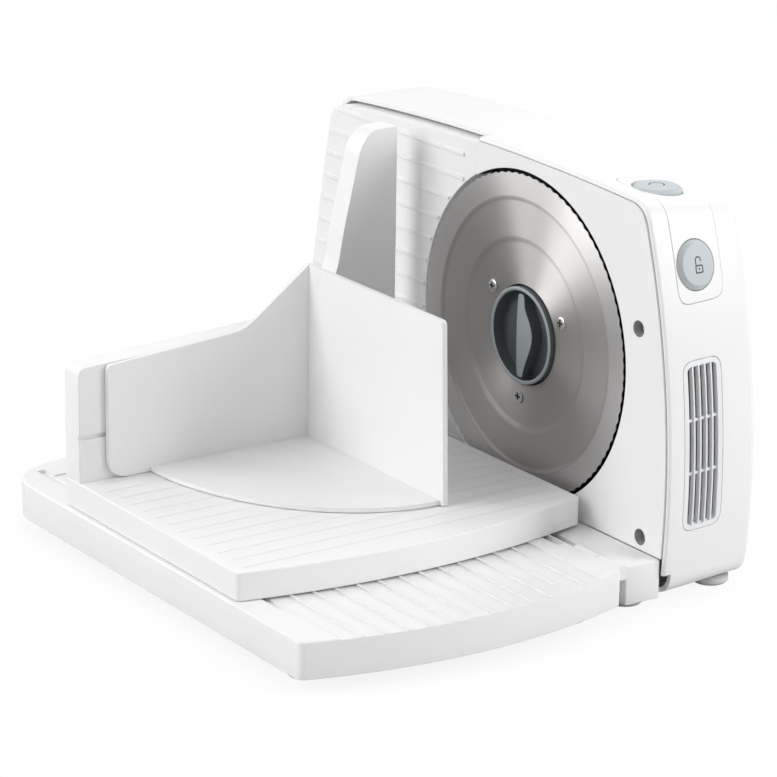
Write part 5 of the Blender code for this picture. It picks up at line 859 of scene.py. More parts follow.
def build_plate_screws():
    under = -WELL_DEPTH + GAP
    top = under + PLATE_SCREW_HEAD_THICK
    end = -WELL_DEPTH - PLATE_SCREW_LENGTH + OVERRUN
    profile = [(0, top), (PLATE_SCREW_HEAD_R, top), (PLATE_SCREW_HEAD_R, under),
               (PLATE_SCREW_SHANK_R, under), (PLATE_SCREW_SHANK_R, end), (0, end)]
    for name, (x, z) in (("upper", UPPER_WELL), ("lower", LOWER_WELL)):
        screw = finish(turned(name + "_plate_screw", (x, 0, z), profile, TINY_ROUND))
        # The whole screw, deep in its well, gets grey painted shade.
        paint(screw, WELL_PAINTED_SHADE, lambda at: True)


def skin_band(name, start, end):
    """A skin of one wall thickness under the housing's outline, between two depths."""
    band = seam_prism(name, start, end, 0)
    cut(band, seam_prism(name + "_hollow", 0, SHELL_BACK, SHELL_WALL))
    return band


def button_room(name, place, facing):
    """Bore for a button and, through the well's floor, the narrower one for its stem."""
    bore_r = BUTTON_R + BUTTON_GAP
    stem_r = BUTTON_STEM_R + SLIDE_GAP
    floor = BUTTON_WELL_FLOOR - BUTTON_WELL_DEPTH
    profile = [(0, BUTTON_PROUD * 2), (bore_r, BUTTON_PROUD * 2), (bore_r, floor), (stem_r, floor),
               (stem_r, -BUTTON_WELL_DEPTH - OVERRUN), (0, -BUTTON_WELL_DEPTH - OVERRUN)]
    return turned(name + "_button_room", place, profile, ROUND, facing, first_step=0.5)


def build_switch_panel():
    panel = skin_band("switch_panel", PANEL_FRONT, PANEL_BACK)
    keep(panel, panel_room("panel_limits", 0))
    for name, (place, facing) in (("top", top_button_place()), ("side", side_button_place())):
        outer_r = BUTTON_R + BUTTON_GAP + BUTTON_WELL_WALL
        block = [(0, -SHELL_WALL / 2), (outer_r, -SHELL_WALL / 2), (outer_r, -BUTTON_WELL_DEPTH),
                 (0, -BUTTON_WELL_DEPTH)]
        well = turned(name + "_well", place, block, ROUND, facing)
        limits = seam_prism(name + "_well_limits", PANEL_FRONT, SHELL_BACK, SHELL_WALL / 4)
        join(limits, seam_prism(name + "_deep_limits", PANEL_FRONT / 2, SHELL_BACK,
                                SHELL_WALL + GAP))
        keep(well, limits)
        join(panel, well)
        cut(panel, button_room(name, place, facing))
    return finish(panel)


def frame_towards(facing):
    """Turns a shape built along +Z to a facing direction, its Y direction kept as near as it goes."""
    side = Vector((0, 1, 0)).cross(facing).normalized()
    return Matrix((side, facing.cross(side), facing)).transposed().to_4x4()


def build_vent_grille():
    grille = skin_band("vent_grille", VENT_FRONT, VENT_BACK)
    keep(grille, vent_prism("grille_limits", 0))
    pitch = (VENT_BACK - VENT_FRONT - 2 * VENT_BORDER) / VENT_SLOTS
    row_height = (VENT_TOP - VENT_BOTTOM - 2 * VENT_BORDER) / VENT_BARS
    slots = []
    furrows = []
    for column in range(VENT_SLOTS):
        left = VENT_FRONT + VENT_BORDER + (column + 0.5) * pitch - VENT_SLOT_WIDTH / 2
        right = left + VENT_SLOT_WIDTH
        furrows.append(((TOP_RIGHT_X, left, VENT_BOTTOM), (WIDE, right, VENT_TOP)))
        for row in range(VENT_BARS):
            bottom = VENT_BOTTOM + VENT_BORDER + row * row_height + VENT_RIB / 2
            slots.append(((TOP_RIGHT_X, left, bottom), (WIDE, right, bottom + row_height - VENT_RIB)))
    for name, pairs in (("vent_slots", slots), ("vent_furrows", furrows)):
        opening = boxes(name, pairs)
        keep(opening, vent_prism(name + "_limits", -VENT_BORDER))
        if pairs == furrows:
            cut(opening, seam_prism("vent_rib_level", 0, SHELL_BACK, VENT_RIB_SINK))
        cut(grille, opening)
    return finish(grille)


def stop_shape(name, start, end, inset, arc_r):
    """The stop plate's outline, drawn in by inset beyond its running gap."""
    shape = seam_prism(name, start, end, SEAM_INSET + STOP_SEAM_GAP + inset)
    keep(shape, left_of(name + "_limits", STOP_SPLIT_X - SLIDE_GAP - inset, start - OVERRUN,
                        end + OVERRUN, PLATE_BOTTOM_Z + inset))
    cut(shape, rod(name + "_arc", 'Y', start - OVERRUN, end + OVERRUN, (0, 0), arc_r, BLADE_STEPS))
    return shape


def build_stop_plate():
    plate = stop_shape("stop_plate", STOP_RIB_HEIGHT, STOP_SKIRT, 0, STOP_ARC_R)
    pocket = stop_shape("stop_pocket", STOP_RIB_HEIGHT + STOP_WALL, STOP_SKIRT + OVERRUN, STOP_WALL,
                        STOP_ARC_R + STOP_WALL)
    cut(plate, pocket)
    ribs = boxes("stop_ribs", [((-WIDE, 0, STOP_RIB_TOP_Z - STOP_RIB_PITCH * row),
                                (STOP_SPLIT_X, STOP_RIB_HEIGHT + GAP,
                                 STOP_RIB_TOP_Z - STOP_RIB_PITCH * row + STOP_RIB_WIDTH))
                               for row in range(STOP_RIBS)])
    keep(ribs, stop_shape("rib_limits", -OVERRUN, STOP_SKIRT, STOP_RIB_MARGIN,
                          STOP_ARC_R + STOP_RIB_ARC_GAP))
    keep(ribs, left_of("rib_ends", STOP_SPLIT_X - STOP_RIB_END_GAP, -OVERRUN, STOP_SKIRT))
    join(plate, ribs)
    join(plate, rods("guide_posts", 'Y', STOP_RIB_HEIGHT + STOP_WALL / 2,
                     STOP_WALL + GUIDE_POST_LENGTH, GUIDES, GUIDE_POST_R))
    nut_r = SPINDLE_R + SPINDLE_THREAD + THREAD_GAP + NUT_WALL
    join(plate, rod("nut", 'Y', STOP_RIB_HEIGHT + STOP_WALL / 2, NUT_END, (DIAL_X, DIAL_Z), nut_r))
    cut(plate, threaded_bar("nut_thread", STOP_RIB_HEIGHT + 2 * STOP_WALL, NUT_END + OVERRUN,
                            THREAD_GAP))
    return finish(plate)


def threaded_bar(name, start, end, gap, sides=15, steps_per_turn=12):
    """A steep three-start thread along Y round the dial's axis; one turn equals its lead."""
    turns = (end - start) / THREAD_LEAD
    steps = math.ceil(turns * steps_per_turn)
    rings = []
    for step in range(steps + 1):
        y = start + (end - start) * step / steps
        twist = -2 * math.pi * y / THREAD_LEAD
        ring = []
        for side in range(sides):
            angle = 2 * math.pi * side / sides
            wave = math.cos(SPINDLE_LOBES * (angle - twist))
            radius = SPINDLE_R + gap + SPINDLE_THREAD * (1 + wave) / 2
            ring.append((DIAL_X + radius * math.cos(angle), y, DIAL_Z + radius * math.sin(angle)))
        rings.append(ring)
    return loft(name, rings)


def blade_loop(bm, radius, y):
    """A ring of the blade: one point per scallop, and on the edge several."""
    steps = SCALLOPS * EDGE_POINTS if radius == BLADE_R else SCALLOPS
    loop = []
    for step in range(steps):
        angle = 2 * math.pi * step / steps
        here = radius
        if radius == BLADE_R:
            here -= SCALLOP_DEPTH * (1 - math.cos(SCALLOPS * angle)) / 2
        loop.append(bm.verts.new((here * math.cos(angle), y, here * math.sin(angle))))
    return loop


def join_loops(bm, first, second):
    """Faces between two rings, of which either may have more points than the other."""
    if len(first) > len(second):
        first, second = second, first
    ratio = len(second) // len(first)
    for step in range(len(first)):
        after = (step + 1) % len(first)
        outer = [second[(step * ratio + i) % len(second)] for i in range(ratio + 1)]
        if ratio == 1:
            bm.faces.new((first[step], first[after], outer[1], outer[0]))
            continue
        half = ratio // 2
        for i in range(ratio):
            bm.faces.new((first[step] if i < half else first[after], outer[i], outer[i + 1]))
        bm.faces.new((first[step], outer[half], first[after]))


def build_blade_screws():
    face = BLADE_SWELL_DEPTH + BLADE_DISH - GAP
    front, floor = face - 2 * BLADE_SCREW_HEAD_THICK, face - BLADE_SCREW_HEAD_THICK / 2
    reach = BLADE_SCREW_HEAD_R * CROSS_REACH_SHARE
    slot = BLADE_SCREW_HEAD_R * CROSS_WIDTH_SHARE
    profile = [(0, BLADE_SCREW_HEAD_THICK),
               (BLADE_SCREW_HEAD_R * SCREW_CROWN_SHARE, BLADE_SCREW_HEAD_THICK),
               (BLADE_SCREW_HEAD_R, BLADE_SCREW_HEAD_THICK / 2), (BLADE_SCREW_HEAD_R, 0),
               (BLADE_SCREW_SHANK_R, 0), (BLADE_SCREW_SHANK_R, -BLADE_SCREW_LENGTH),
               (0, -BLADE_SCREW_LENGTH)]
    for number, angle in enumerate(BLADE_SCREW_ANGLES, 1):
        x, z = BLADE_SCREW_CIRCLE_R * math.cos(angle), BLADE_SCREW_CIRCLE_R * math.sin(angle)
        screw = turned("blade_screw_" + str(number), (x, face, z), profile, SMALL_ROUND)
        for label, wide, high in (("cross", reach, slot), ("upright", slot, reach)):
            cut(screw, box("screw_%s_%d" % (label, number), (x - wide, front, z - high),
                           (x + wide, floor, z + high)))
        # The faces inside the cross slot get near black painted shade.
        paint(finish(screw), RECESS_PAINTED_SHADE, lambda at: (
            face - BLADE_SCREW_HEAD_THICK + PRESS_GAP < at.y < face - PRESS_GAP
            and off_axis(at, x, z) < reach + PRESS_GAP))


def vane_outline(steps=40):
    """A slim upright grip with round ends, straight on one side and swelling on the other."""
    half = VANE_LENGTH / 2
    right = [(0, half)]
    left = [(0, -half)]
    for step in range(1, steps):
        turn = math.pi * step / steps
        z = half * math.cos(turn)
        edge = VANE_TIP_WIDTH / 2 * math.sin(turn) ** VANE_END_SHARE
        down_share = (1 - math.cos(turn)) / 2
        swell_share = max(0, down_share - VANE_SWELL_START_SHARE) / (1 - VANE_SWELL_START_SHARE)
        swell = math.sin(math.pi * swell_share ** VANE_SWELL_LEAN_SHARE) ** 2
        right.append((edge + (VANE_WIDTH - VANE_TIP_WIDTH) * swell, z))
        left.insert(1, (-edge, z))
    return right + left


def build_lock_knob():
    """Recessed cup with an upright grip; its lugs turn under the wheel's bridges."""
    rim = KNOB_RIM_PROUD
    floor = rim - KNOB_CUP_DEPTH
    under = floor - KNOB_FLOOR
    hub_end = -(WHEEL_WEB_FRONT - SLIDE_GAP)
    inner_r = KNOB_RIM_R - KNOB_CUP_WALL
    bore_r = AXLE_R + RUN_GAP
    chamfer = KNOB_CUP_WALL / 3
    profile = [(0, floor), (inner_r, floor), (inner_r, rim - chamfer), (inner_r + chamfer, rim),
               (KNOB_RIM_R - chamfer, rim), (KNOB_RIM_R, rim - chamfer), (KNOB_RIM_R, under),
               (KNOB_HUB_R, under), (KNOB_HUB_R, hub_end), (bore_r, hub_end),
               (bore_r, under - AXLE_NOSE), (0, under - AXLE_NOSE)]
    knob = turned("lock_knob", (0, 0, 0), profile, ROUND)
    join(knob, prism("knob_vane", 'Y', -rim + VANE_BELOW_RIM, -floor + GAP, vane_outline()))
    reach = KNOB_HUB_R + KNOB_LUG_LENGTH
    lugs = box("knob_lugs", (-reach, LUG_FRONT, -KNOB_LUG_WIDTH / 2 + SLIDE_GAP),
               (reach, -hub_end - SLIDE_GAP, KNOB_LUG_WIDTH / 2 - SLIDE_GAP))
    cut(lugs, rod("lug_bore", 'Y', 0, WIDE, (0, 0), (KNOB_HUB_R + bore_r) / 2, ROUND))
    join(knob, lugs)
    return finish(knob)


def pillow(name, outline, low, high, edge_r, steps=5):
    """A flat body with the outline's sides and a softly rounded top edge."""
    rings = [[(x, y, low) for x, y in outline]]
    for sin, cos in quarter_turn(steps):
        ring = narrowed(outline, edge_r * (1 - cos))
        rings.append([(x, y, high - edge_r * (1 - sin)) for x, y in ring])
    return loft(name, rings)


def hinge_spans(name):
    """Ends along X of the table's and the plinth's knuckles for one of the two hinges."""
    if name == "near":
        start = PLINTH_RIGHT - GAP - KNUCKLE_LENGTH
        return (start - GAP - KNUCKLE_LENGTH, start - GAP), (start, start + KNUCKLE_LENGTH)
    start = TABLE_FAR_X + KNUCKLE_INSET
    return (start, start + KNUCKLE_LENGTH), (start + KNUCKLE_LENGTH + GAP,
                                             start + 2 * KNUCKLE_LENGTH + GAP)


TABLE_SPANS, PLINTH_SPANS = zip(hinge_spans("near"), hinge_spans("far"))


def cut_reliefs(part, label, spans):
    """Round hollows that give the other side's knuckles room."""
    for number, (start, end) in enumerate(spans):
        cut(part, rod(label + "_relief_" + str(number), 'X', start - GAP, end + GAP,
                      (HINGE_Y, HINGE_Z), KNUCKLE_RELIEF_R))


def add_knuckles(part, label, spans, web_end):
    """Knuckles round the hinge axis, each with a web to its owner."""
    for number, (start, end) in enumerate(spans):
        join(part, rod(label + "_knuckle_" + str(number), 'X', start, end, (HINGE_Y, HINGE_Z),
                       KNUCKLE_R))
        low_y, high_y = sorted((HINGE_Y, web_end))
        join(part, box(label + "_web_" + str(number), (start, low_y, HINGE_Z - KNUCKLE_R),
                       (end, high_y, HINGE_Z)))


def build_plinth():
    plinth = box("plinth", (PLINTH_LEFT, PLINTH_FRONT, BOTTOM_Z),
                 (PLINTH_RIGHT, PLINTH_BACK, PLINTH_TOP))
    round_edges(plinth, PLINTH_EDGE_R)
    cut(plinth, box("plinth_hollow", (PLINTH_LEFT + PLINTH_WALL, PLINTH_FRONT + PLINTH_WALL,
                                      BOTTOM_Z + PLINTH_WALL),
                    (PLINTH_RIGHT - PLINTH_WALL, PLINTH_BACK + OVERRUN, PLINTH_TOP - PLINTH_WALL)))
    cut_reliefs(plinth, "plinth", TABLE_SPANS)
    add_knuckles(plinth, "plinth", PLINTH_SPANS, PLINTH_FRONT + PLINTH_WALL / 2)
    half = GLIDE_LENGTH / 2 + SLIDE_GAP
    cut(plinth, box("glide_slot", (GLIDE_X - half - CARRIAGE_BACK_TRAVEL, GLIDE_Y - SLOT_WIDTH / 2,
                                   PLINTH_TOP - 2 * PLINTH_WALL),
                    (GLIDE_X + half + CARRIAGE_FORE_TRAVEL, GLIDE_Y + SLOT_WIDTH / 2,
                     PLINTH_TOP + OVERRUN)))
    for number, x in enumerate(TONGUE_PLACES):
        bottom = BOTTOM_Z - GAP - TONGUE_THICK
        join(plinth, box("tab_root_" + str(number), (x - TONGUE_WIDTH / 2, PLINTH_FRONT / 2, bottom),
                         (x + TONGUE_WIDTH / 2, PLINTH_BACK, BOTTOM_Z + GAP)))
        join(plinth, box("tab_" + str(number), (x - TONGUE_WIDTH / 2, PLINTH_FRONT / 2 + GAP, bottom),
                         (x + TONGUE_WIDTH / 2, TONGUE_END, BOTTOM_Z - GAP)))
    holes = [(x, TONGUE_HOLE_Y) for x in TONGUE_PLACES]
    cut(plinth, rods("tab_bores", 'Z', -WIDE, BOTTOM_Z, holes, PLINTH_SCREW_SHANK_R + GAP, TINY_ROUND))
    cut(plinth, rods("tab_head_seats", 'Z', -WIDE, BOTTOM_Z - TONGUE_THICK + PLINTH_SCREW_HEAD_THICK
                     - GAP, holes, PLINTH_SCREW_HEAD_R + GAP))
    cut(plinth, rods("front_foot_holes", 'Z', BOTTOM_Z - OVERRUN, BOTTOM_Z + 2 * PLINTH_WALL,
                     ((RIGHT_FOOT_X, FRONT_FOOT_Y), (LEFT_FOOT_X, FRONT_FOOT_Y)),
                     FOOT_STUD_R + GAP, TINY_ROUND))
    cut(plinth, rod("plinth_pin_bore", 'X', -WIDE, PLINTH_RIGHT - 2 * HINGE_PIN_END,
                    (HINGE_Y, HINGE_Z), HINGE_PIN_R + RUN_GAP))
    return finish(plinth)


def build_feet():
    places = (("front_right", RIGHT_FOOT_X, FRONT_FOOT_Y), ("front_left", LEFT_FOOT_X, FRONT_FOOT_Y),
              ("back_right", RIGHT_FOOT_X, BACK_FOOT_Y), ("back_left", LEFT_FOOT_X, BACK_FOOT_Y))
    height = BOTTOM_Z - FLOOR_Z
    profile = [(0, FOOT_STUD_LENGTH), (FOOT_STUD_R, FOOT_STUD_LENGTH), (FOOT_STUD_R, -GAP),
               (FOOT_R, -GAP), (FOOT_R, FOOT_CHAMFER - height),
               (FOOT_R - FOOT_CHAMFER, -height), (0, -height)]
    for name, x, y in places:
        finish(turned("foot_" + name, (x, y, BOTTOM_Z), profile, SMALL_ROUND, (0, 0, 1)))


def table_outline():
    corners = [(TABLE_FAR_X, TABLE_BACK, TABLE_CORNER_R, 0),
               (TABLE_NEAR_HINGE_X, TABLE_BACK, TABLE_CORNER_R, TABLE_NEAR_SAG),
               (TABLE_NEAR_X, TABLE_FRONT, TABLE_CORNER_R, 0),
               (TABLE_FAR_X, TABLE_FRONT, TABLE_FAR_R, TABLE_FAR_SAG)]
    return rounded_outline(corners, side_steps=40)


def cross_ribs():
    """Stiffening ribs across the table's hollow underside."""
    ribs = box("table_ribs", (TABLE_RIB_FIRST_X, TABLE_FRONT + TABLE_WALL / 2,
                              TABLE_UNDER + RIB_THICK),
               (TABLE_RIB_FIRST_X + RIB_THICK, TABLE_BACK - TABLE_WALL / 2,
                TABLE_TOP - TABLE_WALL / 2))
    row = ribs.modifiers.new("row", 'ARRAY')
    row.count = TABLE_CROSS_RIBS
    row.use_relative_offset = False
    row.use_constant_offset = True
    row.constant_offset_displace = (TABLE_CROSS_RIB_PITCH, 0, 0)
    return ribs


def build_table():
    table = pillow("fold_table", table_outline(), TABLE_UNDER, TABLE_TOP, TABLE_EDGE_R)
    cut(table, prism("table_hollow", 'Z', TABLE_UNDER - OVERRUN, TABLE_TOP - TABLE_WALL,
                     offset(table_outline(), TABLE_WALL)))
    width = TABLE_RIB_PITCH - TABLE_RIB_WIDTH
    panel_front = TABLE_FRONT + TABLE_PANEL_MARGIN
    rows = int((TABLE_PANEL_BACK - panel_front) / TABLE_RIB_PITCH)
    join(table, cross_ribs())
    legs = ((NEAR_FRONT_FOOT_X, TABLE_FRONT + NEAR_FRONT_FOOT_INSET),
            (FAR_FRONT_FOOT_X, TABLE_FRONT + FAR_FRONT_FOOT_INSET),
            (NEAR_BACK_FOOT_X, TABLE_BACK - BACK_FOOT_INSET),
            (FAR_BACK_FOOT_X, TABLE_BACK - BACK_FOOT_INSET))
    join(table, rods("table_legs", 'Z', FLOOR_Z, TABLE_TOP - TABLE_WALL / 2, legs, TABLE_FOOT_R))
    cut(table, boxes("table_furrows",
                     [((TABLE_PANEL_FAR, panel_front + TABLE_RIB_PITCH * row,
                        TABLE_TOP - TABLE_RIB_HEIGHT),
                       (WIDE, panel_front + TABLE_RIB_PITCH * row + width, TABLE_TOP + OVERRUN))
                      for row in range(rows)]))
    cut(table, boxes("table_grooves", [((GROOVE_FAR, y - GROOVE_WIDTH / 2, TABLE_TOP - GROOVE_DEPTH),
                                        (GROOVE_NEAR, y + GROOVE_WIDTH / 2, TABLE_TOP + OVERRUN))
                                       for y in (FRONT_GROOVE_Y, BACK_GROOVE_Y)]))
    cut_reliefs(table, "table", PLINTH_SPANS)
    drop = TABLE_TOP - HINGE_Z
    fold_edge = [(HINGE_Y, TABLE_TOP + GAP), (HINGE_Y - drop - GAP, TABLE_TOP + GAP),
                 (HINGE_Y, HINGE_Z - GAP)]
    cut(table, prism("fold_clearance", 'X', -WIDE, WIDE, fold_edge))
    add_knuckles(table, "table", TABLE_SPANS, TABLE_BACK - TABLE_WALL / 2)
    cut(table, rod("table_pin_bore", 'X', -WIDE, WIDE, (HINGE_Y, HINGE_Z), HINGE_PIN_R + RUN_GAP))
    return finish(table)


def carriage_outline():
    corners = [(CARRIAGE_FAR_X, CARRIAGE_BACK, CARRIAGE_CORNER_R, 0),
               (CARRIAGE_NEAR_X, CARRIAGE_BACK, CARRIAGE_CORNER_R, CARRIAGE_SAG),
               (CARRIAGE_NEAR_X, CARRIAGE_FRONT, CARRIAGE_CORNER_R, 0),
               (CARRIAGE_FAR_X, CARRIAGE_FRONT, CARRIAGE_CORNER_R, 0)]
    return rounded_outline(corners, side_steps=40, corner_steps=7)


def carriage_wall_outline():
    foot = CARRIAGE_UNDER + CARRIAGE_WALL
    corners = [(CARRIAGE_FRONT + GAP, foot, 0, 0),
               (CARRIAGE_FRONT + GAP, WALL_FRONT_TOP, WALL_FRONT_R, 0),
               (FIN_FOOT_Y, WALL_BACK_TOP, FIN_FOOT_R, 0),
               (FIN_LOW_Y, FIN_LOW_Z, FIN_LOW_R, 0),
               (FIN_MID_Y, FIN_MID_Z, FIN_LOW_R, 0),
               (FIN_HIGH_Y, FIN_HIGH_Z, FIN_HIGH_R, 0),
               (FIN_TOP_Y, FIN_TOP_Z, FIN_TOP_R, 0),
               (FIN_BACK_Y, FIN_BACK_Z, 0, 0),
               (FIN_BACK_Y, foot, 0, 0)]
    return rounded_outline(corners)


def build_carriage():
    carriage = pillow("carriage", carriage_outline(), CARRIAGE_UNDER, CARRIAGE_TOP, CARRIAGE_EDGE_R)
    cut(carriage, prism("carriage_hollow", 'Z', CARRIAGE_UNDER - OVERRUN,
                        CARRIAGE_TOP - CARRIAGE_WALL, offset(carriage_outline(), CARRIAGE_WALL)))
    inner = CARRIAGE_FAR_X + WALL_THICK
    join(carriage, prism("carriage_wall", 'X', CARRIAGE_FAR_X + GAP, inner,
                         carriage_wall_outline()))
    under_top = CARRIAGE_TOP - CARRIAGE_WALL / 2
    ribs = [((x, CARRIAGE_FRONT + CARRIAGE_WALL / 2, CARRIAGE_UNDER + RIB_THICK),
             (x + RIB_THICK, CARRIAGE_BACK - CARRIAGE_WALL / 2, under_top))
            for x in CARRIAGE_CROSS_RIBS]
    join(carriage, boxes("carriage_ribs", ribs))
    keels = [((KEEL_FAR, y - KEEL_WIDTH / 2, CARRIAGE_UNDER - KEEL_DEPTH),
              (KEEL_NEAR, y + KEEL_WIDTH / 2, under_top)) for y in (FRONT_GROOVE_Y, BACK_GROOVE_Y)]
    join(carriage, boxes("carriage_keels", keels))
    pegs = [(GLIDE_X + side * GLIDE_PEG_SPACING / 2, GLIDE_Y) for side in (-1, 1)]
    join(carriage, rods("peg_bosses", 'Z', CARRIAGE_UNDER, under_top, pegs,
                        GLIDE_PEG_R + SLIDE_GAP + PEG_BOSS_WALL))
    cut(carriage, prism("wall_pocket", 'X', CARRIAGE_FAR_X + CARRIAGE_WALL + GAP,
                        inner - CARRIAGE_WALL, offset(carriage_wall_outline(), CARRIAGE_WALL)))
    cut(carriage, box("wall_mouth", (CARRIAGE_FAR_X + CARRIAGE_WALL + 2 * GAP,
                                     CARRIAGE_FRONT + CARRIAGE_WALL + 2 * GAP,
                                     CARRIAGE_UNDER - OVERRUN),
                      (inner - CARRIAGE_WALL - GAP, FIN_BACK_Y - CARRIAGE_WALL - GAP,
                       CARRIAGE_UNDER + 3 * CARRIAGE_WALL)))
    cut(carriage, rods("peg_bores", 'Z', CARRIAGE_UNDER - OVERRUN,
                       CARRIAGE_UNDER + GLIDE_PEG_HEIGHT, pegs, GLIDE_PEG_R + SLIDE_GAP))
    cut(carriage, box("tongue_groove", (inner - GUIDE_SLOT_DEPTH, CARRIAGE_FRONT - OVERRUN,
                                        GUIDE_SLOT_Z - GUIDE_SLOT_HEIGHT / 2),
                      (inner + OVERRUN, FIN_BACK_Y + OVERRUN, GUIDE_SLOT_Z + GUIDE_SLOT_HEIGHT / 2)))
    furrows = []
    x = inner + CARRIAGE_RIB_MARGIN
    while x + CARRIAGE_RIB_WIDTH < CARRIAGE_NEAR_X:
        furrows.append(((x, CARRIAGE_FRONT + CARRIAGE_RIB_MARGIN, CARRIAGE_TOP - CARRIAGE_RIB_DEPTH),
                        (x + CARRIAGE_RIB_WIDTH, CARRIAGE_BACK - CARRIAGE_RIB_MARGIN,
                         CARRIAGE_TOP + OVERRUN)))
        x += CARRIAGE_RIB_PITCH
    cut(carriage, boxes("carriage_furrows", furrows))
    return finish(carriage)


def build_holder(floor_steps=64):
    back_x = CARRIAGE_FAR_X + WALL_THICK + GAP
    low = CARRIAGE_TOP + GAP
    rear = HOLDER_FACE_Y + HOLDER_WALL
    left_end = CARRIAGE_FRONT + HOLDER_END_INSET
    right = [(back_x, HOLDER_TOP_Z, 0, 0), (HOLDER_NEAR_TOP_X, HOLDER_TOP_Z, HOLDER_CORNER_R, 0),
             (HOLDER_NEAR_FOOT_X, low, 0, 0), (back_x, low, 0, 0)]
    holder = prism("food_holder", 'Y', HOLDER_FACE_Y, rear, rounded_outline(right))
    left = [(left_end, HOLDER_END_Z, HOLDER_CORNER_R, 0),
            (HOLDER_LOW_Y, HOLDER_LOW_Z, HOLDER_LOW_R, 0), (HOLDER_FACE_Y, HOLDER_TOP_Z, 0, 0),
            (rear, HOLDER_TOP_Z, 0, 0), (rear, low, 0, 0), (left_end, low, HOLDER_FOOT_R, 0)]
    join(holder, prism("holder_left_wall", 'X', back_x, back_x + HOLDER_WALL,
                       rounded_outline(left)))
    centre_y = HOLDER_FACE_Y + HOLDER_WALL / 2
    floor = [(back_x + GAP, centre_y)]
    floor += [(back_x + GAP + HOLDER_FLOOR_X_REACH * cos, centre_y - HOLDER_FLOOR_Y_REACH * sin)
              for sin, cos in quarter_turn(floor_steps)]
    join(holder, prism("holder_floor", 'Z', low, low + HOLDER_FLOOR, floor))
    middle = (left_end + HOLDER_FACE_Y) / 2
    rise = GUIDE_SLOT_HEIGHT / 2 - SLIDE_GAP
    join(holder, box("holder_tongue", (back_x - GUIDE_SLOT_DEPTH + SLIDE_GAP,
                                       middle - TONGUE_LENGTH / 2, GUIDE_SLOT_Z - rise),
                     (back_x + HOLDER_WALL / 2, middle + TONGUE_LENGTH / 2, GUIDE_SLOT_Z + rise)))
    return finish(holder)


def build_gland():
    outside = GAP + GLAND_FLANGE_THICK
    inside = -SHELL_WALL * 2
    profile = [(GLAND_BORE_R, 2 * outside), (GLAND_R - GAP, 2 * outside), (GLAND_R, outside),
               (GLAND_FLANGE_R, outside), (GLAND_FLANGE_R, GAP), (GLAND_R, GAP), (GLAND_R, inside),
               (GLAND_BORE_R, inside)]
    gland = turned("cord_gland", (GLAND_X, SHELL_BACK, GLAND_Z), profile, SMALL_ROUND, (0, 1, 0))
    return finish(gland)


def build_dial_ring():
    """Plain scale ring behind the dial knob, without figures."""
    profile = [(SPINDLE_R + SLIDE_GAP, DIAL_RING_THICK), (DIAL_RING_R, DIAL_RING_THICK),
               (DIAL_RING_R, 0), (SPINDLE_R + SLIDE_GAP, 0)]
    ring = turned("dial_ring", (DIAL_X, SHELL_BACK + GAP / 2, DIAL_Z), profile, ROUND, (0, 1, 0))
    return finish(ring)


def finish(piece):
    """Turns a drafted form into the look of the CAD node that it is named for."""
    mesh = apply_modifiers(piece)
    mesh.transform(Matrix.Translation(PLACE) @ piece.matrix_world)
    piece.matrix_world = Matrix.Identity(4)
    for tool in list(CUTTERS.objects):
        bpy.data.objects.remove(tool)
    node = piece.name.split(".")[0]
    piece.name = node + "_look"
    mesh.materials.clear()
    mesh.materials.append(material_for(node))
    mesh.shade_smooth()
    mesh.set_sharp_from_angle(angle=SHARP_ANGLE)
    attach(piece, BODY_OF[node])
    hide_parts(node)
    return piece


def off_axis(at, x=0, z=0):
    """Distance of a point from an axis along Y."""
    return math.hypot(at.x - x, at.z - z)


def paint(piece, material, wanted):
    """Gives a second material to the faces whose middle, in the drafting frame, is wanted."""
    mesh = piece.data
    mesh.materials.append(material)
    for face in mesh.polygons:
        if wanted(face.center - PLACE):
            face.material_index = len(mesh.materials) - 1


# Materials
def new_material(name):
    material = bpy.data.materials.new(name)
    material.use_nodes = True
    tree = material.node_tree
    return material, tree, tree.nodes["Principled BSDF"].inputs


def grey(value):
    return (value, value, value, 1)


def ramp(tree, share, low, high, low_at, high_at):
    """A colour that runs from low to high while share runs from low_at to high_at."""
    node = tree.nodes.new("ShaderNodeValToRGB")
    node.color_ramp.elements[0].position = low_at
    node.color_ramp.elements[0].color = low
    node.color_ramp.elements[1].position = high_at
    node.color_ramp.elements[1].color = high
    tree.links.new(share, node.inputs["Fac"])
    return node.outputs["Color"]


def noise(tree, place, scale, detail, dimensions='3D'):
    """Noise over a place, or with dimensions 1D over a single value."""
    node = tree.nodes.new("ShaderNodeTexNoise")
    node.noise_dimensions = dimensions
    node.inputs["Scale"].default_value = scale
    node.inputs["Detail"].default_value = detail
    tree.links.new(place, node.inputs["W" if dimensions == '1D' else "Vector"])
    return node.outputs["Fac"]


def operate(tree, kind, operation, value, operand=None):
    """Outputs of a Math or VectorMath node that works on value with a fixed operand."""
    node = tree.nodes.new("ShaderNode" + kind)
    node.operation = operation
    if operand is not None:
        node.inputs[1].default_value = operand
    tree.links.new(value, node.inputs[0])
    return node.outputs


def bump(tree, height, strength, distance, normal=None, invert=False):
    node = tree.nodes.new("ShaderNodeBump")
    node.invert = invert
    node.inputs["Strength"].default_value = strength
    node.inputs["Distance"].default_value = distance
    tree.links.new(height, node.inputs["Height"])
    if normal is not None:
        tree.links.new(normal, node.inputs["Normal"])
    return node.outputs["Normal"]


def waver_colour(tree, shader, share, colour, dim, low_at=0.3, high_at=0.7):
    """Base colour between the given one and dim times as much of it."""
    low = tuple(value * dim for value in colour)
    wavering = ramp(tree, share, (*low, 1), (*colour, 1), low_at, high_at)
    tree.links.new(wavering, shader["Base Color"])


def waver_gloss(tree, shader, share, roughness, below, above):
    """Roughness between the given one less below and the given one plus above."""
    wavering = ramp(tree, share, grey(roughness - below), grey(roughness + above), 0.3, 0.7)
    tree.links.new(wavering, shader["Roughness"])


